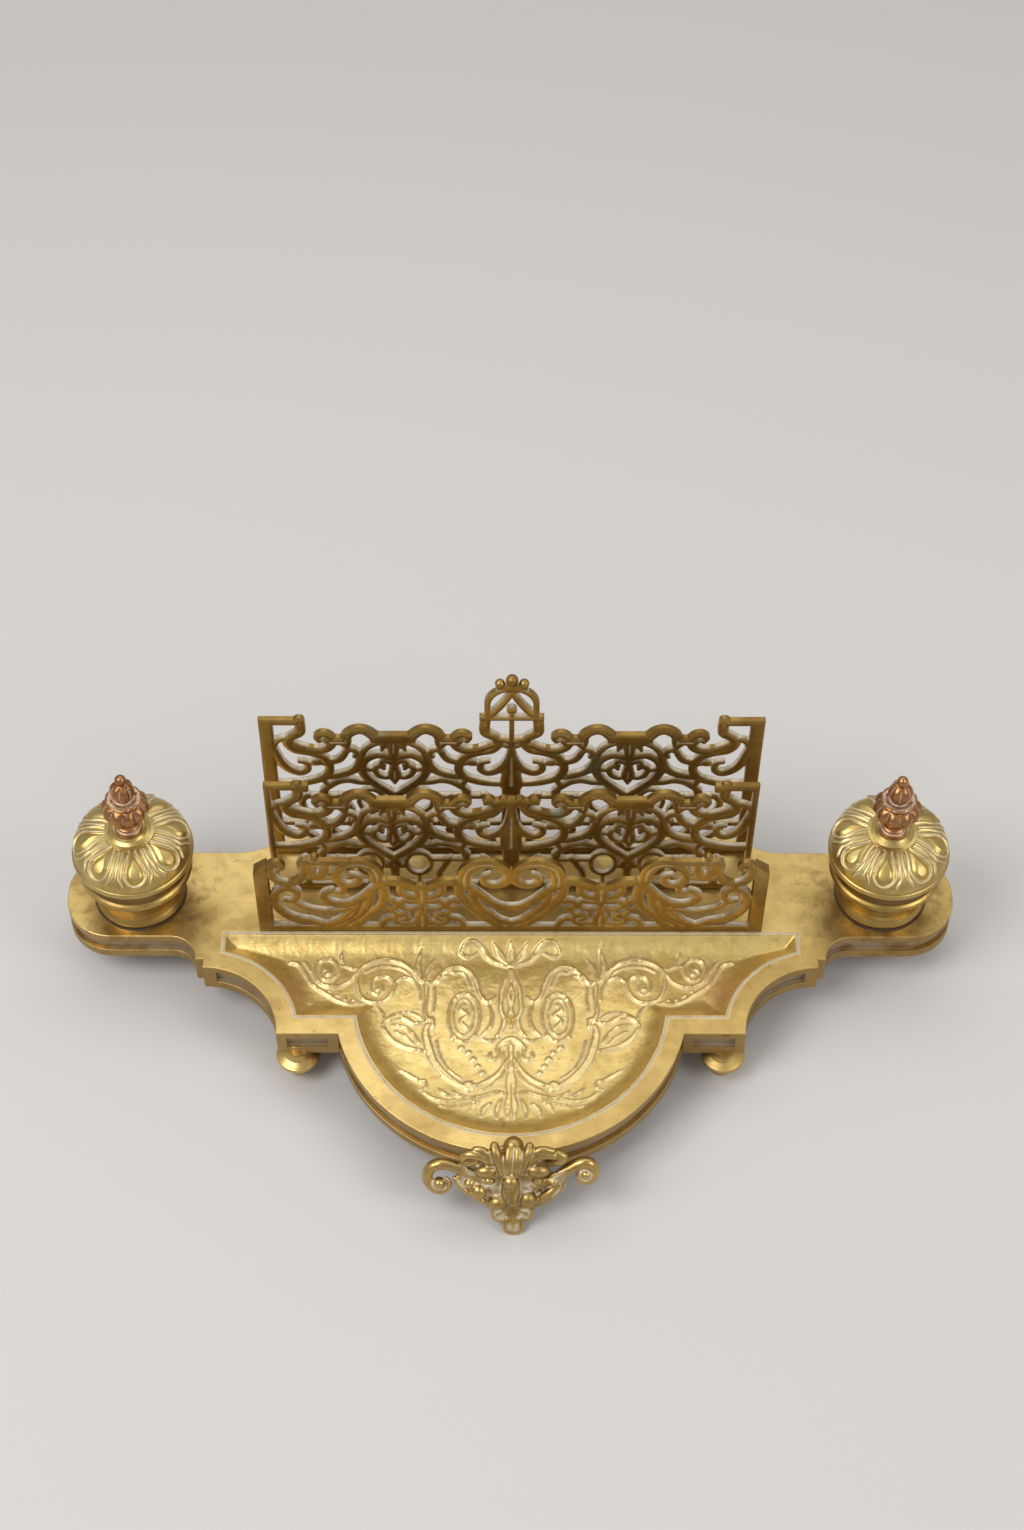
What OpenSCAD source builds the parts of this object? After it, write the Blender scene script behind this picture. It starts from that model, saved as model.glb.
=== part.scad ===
/* [Base plate] */
// Overall width across the two arms
base_w = 420; // [412:2:440]
// Depth of the arms that carry the inkwells
arm_depth = 48.5; // [47:0.5:52]
// Corner radius of the arm ends
arm_corner_r = 22; // [18:0.5:23]
// How far the back edge swells out behind the letter rack
back_swell = 9.5; // [8.5:0.5:12]
// Length of the ogee that leads from an arm into the swell
swell_len = 31; // [26:1:36]
// Height of the moulded edge
skirt_h = 16.5; // [15:0.5:19]
// Thickness of the top plate and of the tray floor
plate_t = 3; // [2.5:0.25:4]
// Metal left behind the groove in the edge
skirt_wall = 2.4; // [2:0.2:3.4]
// Depth of the groove that runs round the edge
groove_d = 2.2; // [1.4:0.2:2.6]
// Height of the lip above the groove
lip_h = 4.4; // [3.4:0.2:5]
// Height of the groove
groove_h = 7.4; // [6:0.2:8]

/* [Front of the base] */
// Radius of the fillet where an arm meets the shoulder
fillet_r = 12.6; // [10:0.2:14]
// Half width of the base just in front of the arms
neck_x = 147.4; // [145.6:0.2:149]
// Half width at the start of the scooped sides
shoulder_x = 143.6; // [142:0.2:144.8]
// Half width of the square blocks beside the bow
block_x = 107.5; // [106:0.5:109]
// Distance from the back edge to the face of the blocks
block_y = 101.8; // [100:0.2:104]
// Radius of the bowed front
bow_r = 81.7; // [79:0.1:83]
// Distance from the back edge to the centre of the bow
bow_y = 82; // [81:0.5:84]

/* [Pen tray] */
// Width of the flat rim round the tray
rim_w = 10; // [9:0.5:12]
// Depth of the tray
tray_depth = 6; // [5:0.5:7]
// Width of the sloping side of the tray
cove_w = 9; // [7:0.5:12]
// Flat strip between the front gallery and the tray
tray_gap = 2.3; // [1.5:0.1:4]

/* [Letter rack] */
// Width of the front gallery over its end posts
gallery_w = 236; // [230:1:240]
// Width of the middle panel
middle_w = 225; // [220:1:230]
// Width of the back panel
back_w = 229; // [224:1:234]
// Distance from the back edge to the front face of the gallery
gallery_y = 45.3; // [44:0.1:46]
// Distance from the back edge to the front face of the middle panel
middle_y = 21; // [18:0.5:24]
// Thickness of the pierced panels
panel_t = 3; // [2.6:0.1:3.6]
// Height of the gallery's end posts at the outer edge
gallery_h = 46; // [44:0.5:50]
// Rise of the slanted top of those posts
gallery_cant = 5.2; // [3:0.2:7]
// Depth of the gallery's end posts
post_depth = 6; // [5.2:0.2:7]
// Width of the gallery's end posts
post_w = 6.5; // [5.5:0.5:8]
// Height of the middle panel at its corners
middle_h = 80; // [77:0.5:86]
// Height of the back panel at its corners
back_h = 101; // [98:0.5:108]
// Width of the plain strip up each end of the back panel
back_strip = 6.5; // [5.5:0.5:8]
// Width of the plain strip up each end of the middle panel
middle_strip = 3; // [2.6:0.2:4]
// Height of the rail along the foot of each panel
rail_h = 4; // [3:0.2:5]
// Weight of the scrollwork, as a share of the widths its strokes are drawn with
stroke_weight = 1.3; // [1:0.05:1.4]
// Radius of the pins that hold the panels to the base
pin_r = 1.4; // [1.2:0.1:1.6]

/* [Inkwells] */
// Distance from the end of an arm to the middle of its well
well_in = 34.4; // [32:0.4:36]
// Distance from the back edge to the middle of a well
well_y = 23.5; // [22.5:0.25:25]
// Radius of the well's foot ring
well_foot_r = 21.3; // [20.4:0.1:22]
// Height of the well body above its washer
well_h = 32.9; // [31:0.1:36]
// Radius of the raised bead round the well
bead_r = 26.5; // [25.5:0.1:27.5]
// Radius of the neck above the bead
neck_r = 24.3; // [23.6:0.1:25]
// Inner radius of the well
well_bore_r = 17.3; // [16.5:0.1:17.6]
// Thickness of the floor of the well
well_floor = 3; // [2.4:0.2:4]
// Thickness of the leather washer under a well
washer_t = 0.8; // [0.6:0.1:1.6]
// Radius of the threaded stud under a well
stud_r = 3; // [2.5:0.1:3.5]
// Wall of the glass ink pot
glass_t = 2.4; // [1.8:0.1:3]
// Thickness of the flange round the top of the ink pot
flange_t = 1.8; // [1.4:0.1:2.2]

/* [Lids] */
// Radius of the bead round a lid
lid_r = 28.2; // [27.6:0.1:29]
// Height from the lid's seat to the crown of the dome
dome_h = 15.4; // [14.4:0.2:17]
// Radius of the flat crown under the collar
crown_r = 10.6; // [9.6:0.2:11.4]
// Wall of the lid
lid_wall = 2.2; // [1.8:0.1:2.8]
// Number of raised petals round a lid
petals = 8; // [6:1:10]
// Radius of the hinge barrels
barrel_r = 1.8; // [1.6:0.1:1.9]
// Radius of the hinge pin
hinge_pin_r = 0.8; // [0.6:0.05:0.9]
// Distance from the middle of a well to its hinge pin
hinge_y = 30.6; // [30.4:0.1:31.6]
// Height of the copper finial above its seat
finial_h = 37.4; // [35:0.2:41]
// Radius of the fluted bulb of the finial
bulb_r = 11.1; // [10:0.1:12]
// Radius of the ball on top of the finial
ball_r = 2.6; // [2.2:0.1:3]

/* [Feet and mask] */
// Height of the feet below the edge
foot_h = 18.5; // [17:0.5:21]
// Radius of the round disc of a foot
foot_disc_r = 10.3; // [8.6:0.2:11]
// Distance from the middle of the stand to a front foot
front_foot_x = 98.6; // [97:0.2:100]
// Distance from the end of an arm to the rear foot below it
rear_foot_in = 64; // [60:1:68]
// Distance from the back edge to a rear foot
rear_foot_y = 14; // [13:0.5:18]
// How far the toe of the mask reaches in front of the bow
toe_reach = 22; // [20:0.5:24]

/* [Hidden] */
$fn = 64;
$weight = 1;

brass = "darkgoldenrod";
pale_brass = "goldenrod";
copper = "sienna";
glass = "lightblue";
leather = "dimgray";
steel = "slategray";

slip = 0.05;      // play of a pin or stud in its hole
gap = 0.3;        // clearance between pieces that move
cut = 1;          // overrun of every cut past the face it starts from
base_h = skirt_h + foot_h;
wall_in = groove_d + skirt_wall;
well_x = base_w / 2 - well_in;
rear_foot_x = base_w / 2 - rear_foot_in;
tray_back = gallery_y + tray_gap;
scoop_r = block_x < shoulder_x ? shoulder_x - block_x : 1;
fillet_y = arm_depth + fillet_r;
bow_front = bow_y + bow_r;
toe_y = bow_front + toe_reach;
middle_of_depth = (back_swell - toe_y) / 2;

// Everything is drawn with the back edge of the arms at Y 0 and the top of the base at Z 0
module placed() {
    translate([0, -middle_of_depth, base_h])
        children();
}

module both_sides() {
    children();
    mirror([1, 0, 0])
        children();
}

module hex(across, h) {
    cylinder(r = across / sqrt(3), h = h, $fn = 6);
}

// A smooth curve through hand-set points, each [x, z, width]
function between(a, b, c, d, t) =
    0.5 * (2 * b + (c - a) * t + (2 * a - 5 * b + 4 * c - d) * t * t + (3 * b - a - 3 * c + d) * t * t * t);

function smooth(p, steps) = [
    for (i = [0 : len(p) - 2])
        for (k = [0 : steps - 1])
            between(p[max(i - 1, 0)], p[i], p[i + 1], p[min(i + 2, len(p) - 1)], k / steps),
    p[len(p) - 1]
];

function heading(c, i) =
    let (a = c[max(i - 1, 0)], b = c[min(i + 1, len(c) - 1)], l = norm([b.x - a.x, b.y - a.y]))
    [(b.x - a.x) / l, (b.y - a.y) / l];

function edge_point(c, i, side) =
    let (h = heading(c, i)) [c[i].x - side * h.y * c[i].z * $weight / 2, c[i].y + side * h.x * c[i].z * $weight / 2];

// A smooth stroke through the points, its widths times the weight set for it and its x spread by k
module stroke(p, k = 1) {
    c = smooth([for (q = p) [q.x * k, q.y, q.z]], 2);
    n = len(c) - 1;
    polygon([
        for (i = [0 : n]) edge_point(c, i, 1),
        for (i = [n : -1 : 0]) edge_point(c, i, -1)
    ]);
}

module dot(x, z, r) {
    translate([x, z])
        circle(r);
}

module bar(x0, z0, x1, z1) {
    translate([x0, z0])
        square([x1 - x0, z1 - z0]);
}

// Outline of the base, drawn in by d all round
module arm_slab(d) {
    x = base_w / 2 - arm_corner_r;
    for (side = [-1, 1])
        for (y = [-arm_corner_r, arm_corner_r - arm_depth])
            translate([side * x, y])
                circle(arm_corner_r - d);
    translate([-x, d - arm_depth])
        square([2 * x, arm_depth - 2 * d]);
    translate([d - base_w / 2, arm_corner_r - arm_depth])
        square([base_w - 2 * d, arm_depth - 2 * arm_corner_r]);
}

// The swell behind the rack: two equal arcs on each side make the ogee
swell_x = gallery_w / 2 + 12.5;
swell_r = (swell_len * swell_len + back_swell * back_swell) / (4 * back_swell);
swell_turn = 2 * atan(back_swell / swell_len);

module swell(d) {
    steps = 8;
    hollow = [for (i = [0 : steps]) let (a = -90 - swell_turn * i / steps)
        [swell_x + (swell_r + d) * cos(a), swell_r + (swell_r + d) * sin(a)]];
    round = [for (i = [0 : steps]) let (a = 90 - swell_turn * (1 - i / steps))
        [swell_x - swell_len + (swell_r - d) * cos(a), back_swell - swell_r + (swell_r - d) * sin(a)]];
    half = concat(hollow, round);
    polygon(concat(half, [for (i = [len(half) - 1 : -1 : 0]) [-half[i].x, half[i].y]],
        [[-swell_x, -arm_depth / 2], [swell_x, -arm_depth / 2]]));
}

module shoulders(d) {
    difference() {
        union() {
            translate([-neck_x - fillet_r, d - fillet_y])
                square([2 * (neck_x + fillet_r), fillet_r + cut]);
            translate([d - shoulder_x, d - block_y])
                square([2 * (shoulder_x - d), block_y - arm_depth]);
        }
        for (side = [-1, 1]) {
            translate([side * (neck_x + fillet_r), -fillet_y])
                circle(fillet_r + d);
            translate([side * shoulder_x, -block_y])
                circle(scoop_r + d);
        }
    }
}

module outline(d = 0) {
    arm_slab(d);
    swell(d);
    shoulders(d);
    translate([0, -bow_y])
        circle(bow_r - d, $fn = 128);
}

// One half of the tray's edge, set in by d from the edge of the base
function tray_side(d) =
    let (
        top_y = rim_w - d - tray_back,
        r = scoop_r + d,
        at_top = 180 - asin((block_y + top_y) / r),
        a0 = max(acos(-d / r), at_top + 2),
        a1 = 180 - asin(d / r),
        b = bow_r - d,
        b0 = -asin((block_y - bow_y - d) / b),
        n = 9
    ) concat(
        [[min(shoulder_x - d, shoulder_x + r * cos(at_top)), top_y]],
        [for (i = [0 : n]) let (a = a0 + (a1 - a0) * i / n)
            [shoulder_x + r * cos(a), r * sin(a) - block_y]],
        [for (i = [0 : n + 2]) let (a = b0 + (-90 - b0) * i / (n + 3))
            [b * cos(a), b * sin(a) - bow_y]]
    );

function tray_ring(d, z) =
    let (side = tray_side(d), n = len(side) - 1) concat(
        [for (p = side) [p.x, p.y, z]],
        [[0, d - bow_y - bow_r, z]],
        [for (i = [n : -1 : 0]) [-side[i].x, side[i].y, z]]
    );

// The hollow of the tray: rings of points joined into one solid, each end closed by a fan
module tray_hollow() {
    levels = [
        [rim_w, cut], [rim_w, -tray_depth * 0.16], [rim_w + cove_w * 0.14, -tray_depth * 0.42],
        [rim_w + cove_w * 0.36, -tray_depth * 0.68], [rim_w + cove_w * 0.66, -tray_depth * 0.9],
        [rim_w + cove_w, -tray_depth]
    ];
    rings = [for (l = levels) tray_ring(l[0], l[1])];
    n = len(rings[0]);
    last = len(levels) - 1;
    fan_y = -(tray_back + cove_w + 6);
    points = concat([for (r = rings) each r],
        [[0, fan_y, levels[0][1]], [0, fan_y, levels[last][1]]]);
    top = len(points) - 2;
    polyhedron(points, concat(
        [for (k = [0 : last - 1]) for (i = [0 : n - 1]) let (j = (i + 1) % n)
            each [[k * n + i, (k + 1) * n + j, k * n + j], [k * n + i, (k + 1) * n + i, (k + 1) * n + j]]],
        [for (i = [0 : n - 1]) [top, i, (i + 1) % n]],
        [for (i = [0 : n - 1]) [top + 1, last * n + (i + 1) % n, last * n + i]]
    ));
}

// The rim of the tray as a plain outline, grown by g, for the metal under the tray
module tray_plan(g) {
    intersection() {
        outline(rim_w - g);
        translate([-shoulder_x, -bow_front])
            square([2 * shoulder_x, bow_front - tray_back + g]);
    }
}

// Places where the groove in the edge is left solid: steps, block corners and behind the mask
module groove_stops() {
    mask_stop = 15;
    both_sides() {
        bar(shoulder_x - 6, -fillet_y - 12, neck_x + 4, -fillet_y + 2);
        bar(block_x - 4.5, -block_y - cut, block_x + 4.5, 5 - block_y);
        bar(block_x - 28.5, -block_y - 4, block_x - 23.5, 4.5 - block_y);
    }
    bar(-mask_stop, -bow_front - cut, mask_stop, 12 - bow_front);
}

module groove() {
    steps = [[0.55, 0], [1, 0.14], [0.55, 0.86]];
    for (i = [0 : 2]) {
        z0 = steps[i][1];
        z1 = i == 2 ? 1 : steps[i + 1][1];
        translate([0, 0, -lip_h - groove_h * z1])
            linear_extrude(groove_h * (z1 - z0))
                difference() {
                    translate([-base_w, -2 * bow_front])
                        square([2 * base_w, 3 * bow_front]);
                    outline(groove_d * steps[i][0]);
                    groove_stops();
                }
    }
}

foot_places = [
    [-front_foot_x, 3.6 - block_y], [front_foot_x, 3.6 - block_y],
    [-rear_foot_x, -rear_foot_y], [rear_foot_x, -rear_foot_y]
];
spigot_r = 1.8;
spigot_h = 3.4;
boss_r = 6.5;
mask_screw_x = 8;
mask_screw_z = -(skirt_h + lip_h + groove_h) / 2 + 0.6;
mask_screw_r = 1.5;
mask_seat_y = -(bow_front - wall_in) - 0.3;
mask_head_t = 1.8;
mask_head_r = 2.6;
mask_screw_reach = 7;

module base_tray() color(pale_brass) placed() difference() {
    union() {
        difference() {
            translate([0, 0, -skirt_h])
                linear_extrude(skirt_h)
                    outline();
            // Hollow underside, left solid round the tray
            difference() {
                translate([0, 0, -skirt_h - cut])
                    linear_extrude(skirt_h + cut - plate_t)
                        outline(wall_in);
                translate([0, 0, -tray_depth - plate_t])
                    linear_extrude(tray_depth + plate_t)
                        tray_plan(plate_t * 0.75);
            }
        }
        for (p = foot_places)
            translate([p.x, p.y + (p.y < -arm_depth ? 2.5 : 0), -skirt_h])
                cylinder(r = boss_r, h = skirt_h - plate_t / 2);
    }
    tray_hollow();
    groove();
    for (p = foot_places)
        translate([p.x, p.y, -skirt_h - cut])
            cylinder(r = spigot_r + slip, h = spigot_h + cut + slip);
    for (p = rack_pins)
        translate([p.x, p.y, -plate_t - cut])
            cylinder(r = pin_r + slip, h = plate_t + 2 * cut);
    for (side = [-1, 1]) {
        translate([side * well_x, -well_y, -plate_t - cut])
            cylinder(r = stud_r + slip, h = plate_t + 2 * cut);
        translate([side * mask_screw_x, cut - bow_front + 2 * wall_in, mask_screw_z])
            rotate([90, 0, 0]) {
                cylinder(r = mask_screw_r + slip, h = 3 * wall_in);
                cylinder(r = mask_head_r + 0.2, h = cut + 2 * wall_in - bow_front - mask_seat_y);
            }
    }
}

// Pins of the three panels: [x, y]
gallery_pin_y = post_depth / 2 - gallery_y;
middle_pin_y = panel_t / 2 - middle_y;
back_pin_y = panel_t / 2;
inner_pin = 38;
back_pin_in = 18;
rack_pins = [
    for (side = [-1, 1]) each [
        [side * (gallery_w - post_w) / 2, gallery_pin_y], [side * inner_pin, gallery_pin_y],
        [side * (middle_w / 2 - 4), middle_pin_y], [side * inner_pin, middle_pin_y],
        [side * (back_w / 2 - back_pin_in), back_pin_y], [side * inner_pin, back_pin_y]
    ]
];
nut_h = 2.4;
nut_across = 4.4;

module panel_pins(row) {
    for (i = [0 : len(rack_pins) - 1])
        if (floor(i / 2) % 3 == row)
            translate([rack_pins[i].x, rack_pins[i].y, -plate_t - nut_h - 0.8])
                cylinder(r = pin_r, h = plate_t + nut_h + 0.8 + rail_h / 2);
}

module rack_nuts() color(steel) placed()
    for (p = rack_pins)
        translate([p.x, p.y, -plate_t - nut_h])
            difference() {
                hex(nut_across, nut_h);
                translate([0, 0, -cut])
                    cylinder(r = pin_r + slip, h = nut_h + 2 * cut);
            }

// Half of one bay of the scrollwork, as strokes [u, v, width]: u from the middle of the bay,
// v down from the top of the panel
bay_strokes = [
    [[42, -1, 3.8], [42, -9, 3.8], [46.5, -13, 3.4], [48, -17, 3.6], [45, -22, 3.4], [39, -24, 3.2],
        [33, -27, 3.2], [30, -33, 3.2], [30, -38, 3.2], [33, -43, 3], [39, -46, 3], [46, -47.5, 2.6],
        [54.5, -47.5, 2.2]],
    [[55, -21, 2.2], [53, -16, 2.2], [49.5, -14, 2], [46.5, -15, 2]],
    [[54.5, -22, 3], [52, -31, 3.2], [48.5, -36.5, 3.2], [43.5, -39.2, 3], [39.8, -36.5, 2.6],
        [40.3, -32, 2.2], [43.4, -30.8, 1.6]],
    [[45, -18, 2.4], [41, -20.5, 2.6], [36, -22.3, 3], [31, -21.8, 3.2], [28, -18, 3.2],
        [28.2, -13, 3], [31.5, -10.4, 2.8], [34.6, -12.5, 2.4], [33.6, -15.6, 2]],
    [[29, -15.5, 4.2], [21.5, -15.5, 4.2]],
    [[21.8, -17.5, 4], [21, -12, 3.8], [18.5, -9, 3.8], [15, -7.6, 3.8], [11.5, -9, 3.8], [8.6, -12.4, 4]],
    [[23.5, -16.5, 2], [20.2, -21.8, 2]],
    [[3, -15, 2.4], [9, -18, 2.4], [13, -22, 2.4], [14.8, -27, 2.4], [16, -31, 2.6]],
    [[-0.8, -29.2, 2.8], [4, -26.4, 2.8], [9, -26.5, 3], [13.5, -30.5, 3], [15, -37, 3.2],
        [12.5, -43.5, 3.2], [7, -50, 3], [-0.6, -57.4, 3]],
    [[3.6, -15, 2.8], [4.4, -18.5, 2.6], [5.4, -22.4, 1]],
    [[0.5, -33, 1.8], [2.4, -31.2, 1.8], [4.8, -30.1, 1.6], [6, -32, 1.5], [4.4, -33.6, 1.4]],
    [[0.5, -41, 2], [4, -42.8, 2], [7.5, -41, 2.2], [9, -36.5, 2.2], [6.8, -33.8, 2], [4.8, -36, 1.6]],
    [[8.8, -37.5, 2], [14.5, -35.5, 2]],
    [[31, -31.4, 3], [25.5, -29.8, 2.8], [22.8, -26, 2.6], [21.5, -23, 2.4], [18.6, -22, 2.2],
        [16.6, -24.6, 2], [18, -27, 1.6]],
    [[15, -28, 3.2], [16.5, -34, 3.4], [20, -38.5, 3], [26, -41.2, 2.8], [32, -42.5, 2.6]],
    [[34, -53.5, 2.2], [30.5, -49.5, 2.6], [26, -46, 2.6], [21, -45, 2.6], [16.5, -46.4, 2.4],
        [10.5, -46.6, 2.4]],
    [[33.5, -43.4, 2], [31, -49, 2]],
    [[36, -31.5, 3.4], [33.5, -32, 1.8], [30.5, -33, 2]]
];

// Width that the bay strokes were drawn for
bay_reach = 108;

// Middle of a bay: the palmette, the leaf in the heart and the little pedestal under it
axis_strokes = [
    [[0, -14, 2.6], [0, -20, 4.4], [0, -29.8, 2.2]],
    [[0, -28, 2.2], [0, -36, 3.4], [0, -41, 4.8], [0, -47, 1]],
    [[0, -56, 3.2], [0, -60, 3.6], [0, -61, 6]]
];

// Foot of a bay, measured down from the pedestal, with the ring either side of it
module bay_foot(depth, k) {
    bar(-5, -64, 5, -60.4);
    bar(-2.2, -depth, 2.2, -63);
    both_sides() {
        translate([11.4, -60.6])
            oval_ring(5.9, 8.5, 2.2);
        bar(17, -58.6, 42, -56);
        bar(10.3, -depth, 12.5, -68.4);
        stroke([[26, -57, 2.4], [22.6, -64, 2.4], [20.5, -70, 2.4], [22, -depth - 0.5, 2.4]], k);
        stroke([[32.5, -53, 2.4], [34, -57, 2.4]], k);
        stroke([[41, -56.5, 2.4], [44, -61, 2.6], [43, -68, 2.4], [40, -depth - 0.5, 2.4]], k);
    }
}

// An upright oval ring of width w, drawn as one outline with one hole
module oval_ring(a, b, w) {
    n = 20;
    polygon(
        [for (s = [1, -1]) for (i = [0 : n - 1]) let (t = 360 * i / n)
            [(a + s * w / 2) * cos(t), (b + s * w / 2) * sin(t)]],
        [[for (i = [0 : n - 1]) i], [for (i = [0 : n - 1]) n + i]]
    );
}

// Plain scrolls that carry the taller back panel down to its rail
module lower_arcade(depth, from, k) {
    for (u = [-42, -28, -14, 0, 14, 28, 42])
        stroke([[u, -from, 2.4], [u + 3.4, -from - (depth - from) * 0.28, 2.6],
            [u, -(from + depth) / 2, 2.4], [u - 3.4, -depth + (depth - from) * 0.28, 2.6],
            [u, -depth - 0.5, 2.4]], k);
}

// Scrollwork of half a panel from its middle to the strip at its end
module bay(half, strip, h) {
    reach = half - strip;
    k = reach / bay_reach;
    translate([reach / 2, h]) {
        both_sides()
            for (s = bay_strokes)
                stroke(s, k);
        for (s = axis_strokes)
            stroke(s);
        bar(-10.4, -16, 10.4, -10.5);
    }
}

// Frame of a panel: strips up the ends, corner bars and the rail along the foot
module panel_frame(half, strip, h) {
    both_sides() {
        bar(half - strip, 0, half, h);
        bar(half - 20.5, h - 3.6, half, h);
        bar(half - 20.5, h - 4.6, half - 16.7, h);
    }
    bar(-half, 0, half, rail_h);
}

module bay_feet(half, strip, h, top) {
    reach = half - strip;
    both_sides()
        translate([reach / 2, h])
            bay_foot(top - rail_h + 0.5, reach / bay_reach);
}

module stand_panel(y) {
    $weight = stroke_weight;
    translate([0, y + panel_t, 0])
        rotate([90, 0, 0])
            linear_extrude(panel_t)
                children();
}

// The arched crest over the middle of the back panel
crest_r = 12.4;
crest_z = 10.8;

module crest(h) {
    translate([0, h]) {
        difference() {
            union() {
                dot(0, crest_z, crest_r);
                bar(-crest_r, 0, crest_r, crest_z);
            }
            dot(0, crest_z, crest_r - 2.8);
            bar(2.8 - crest_r, 3, crest_r - 2.8, crest_z);
        }
        bar(-14.6, 0, 14.6, 2.6);
        both_sides()
            stroke([[9.8, 3, 2.6], [5.6, 9, 2.6], [2.2, 15, 2.4], [-0.5, 21.4, 2.4]]);
        bar(-1.1, 2, 1.1, 8);
        dot(0, 7, 2.4);
        bar(-7, 22, 7, 24.4);
        // Stem and leaf between the two sides of the pier
        bar(-1.2, -23, 1.2, 1);
        dot(2.2, -18.6, 1.9);
        dot(-2.2, -18.6, 1.9);
        stroke([[0, -22, 3], [0, -32, 4.6], [0, -41, 7], [0, -48, 8.4]]);
    }
}

module back_panel() color(brass) placed() {
    half = back_w / 2;
    foot_top = back_h;
    stand_panel(0) {
        panel_frame(half, back_strip, back_h);
        both_sides()
            bay(half, back_strip, back_h);
        bay_feet(half, back_strip, back_h, 78 + rail_h);
        both_sides() {
            translate([(half - back_strip) / 2, back_h])
                lower_arcade(foot_top - rail_h, 78, (half - back_strip) / bay_reach);
            bar(0, back_h - 79.6, half, back_h - 76.6);
        }
        crest(back_h);
        bar(-4.4, back_h - 79, 4.4, back_h - 47);
    }
    translate([0, panel_t / 2, back_h]) {
        translate([0, 0, crest_z + crest_r + 4.2])
            sphere(2.8);
        translate([0, 0, crest_z + crest_r - 1])
            cylinder(r = 1.4, h = 4);
        both_sides()
            translate([5.4, 0, crest_z + crest_r + 1.9])
                sphere(2.3);
    }
    panel_pins(2);
}

module middle_panel() color(brass) placed() {
    half = middle_w / 2;
    cap = middle_h - 11;
    stand_panel(-middle_y) {
        panel_frame(half, middle_strip, middle_h);
        difference() {
            both_sides()
                bay(half, middle_strip, middle_h);
            bar(-17.5, cap, 17.5, middle_h + 20);
        }
        bay_feet(half, middle_strip, middle_h, middle_h);
        bar(-13, cap - 3.4, 13, cap);
        both_sides() {
            dot(10.4, cap - 0.6, 2.6);
            dot(3.6, cap - 0.6, 2.2);
        }
        stroke([[0, cap - 1, 3], [0, cap - 12, 4], [0, cap - 24, 7], [0, cap - 36, 8]]);
        bar(-4, rail_h - 0.5, 4, cap - 34);
    }
    panel_pins(1);
}

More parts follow.
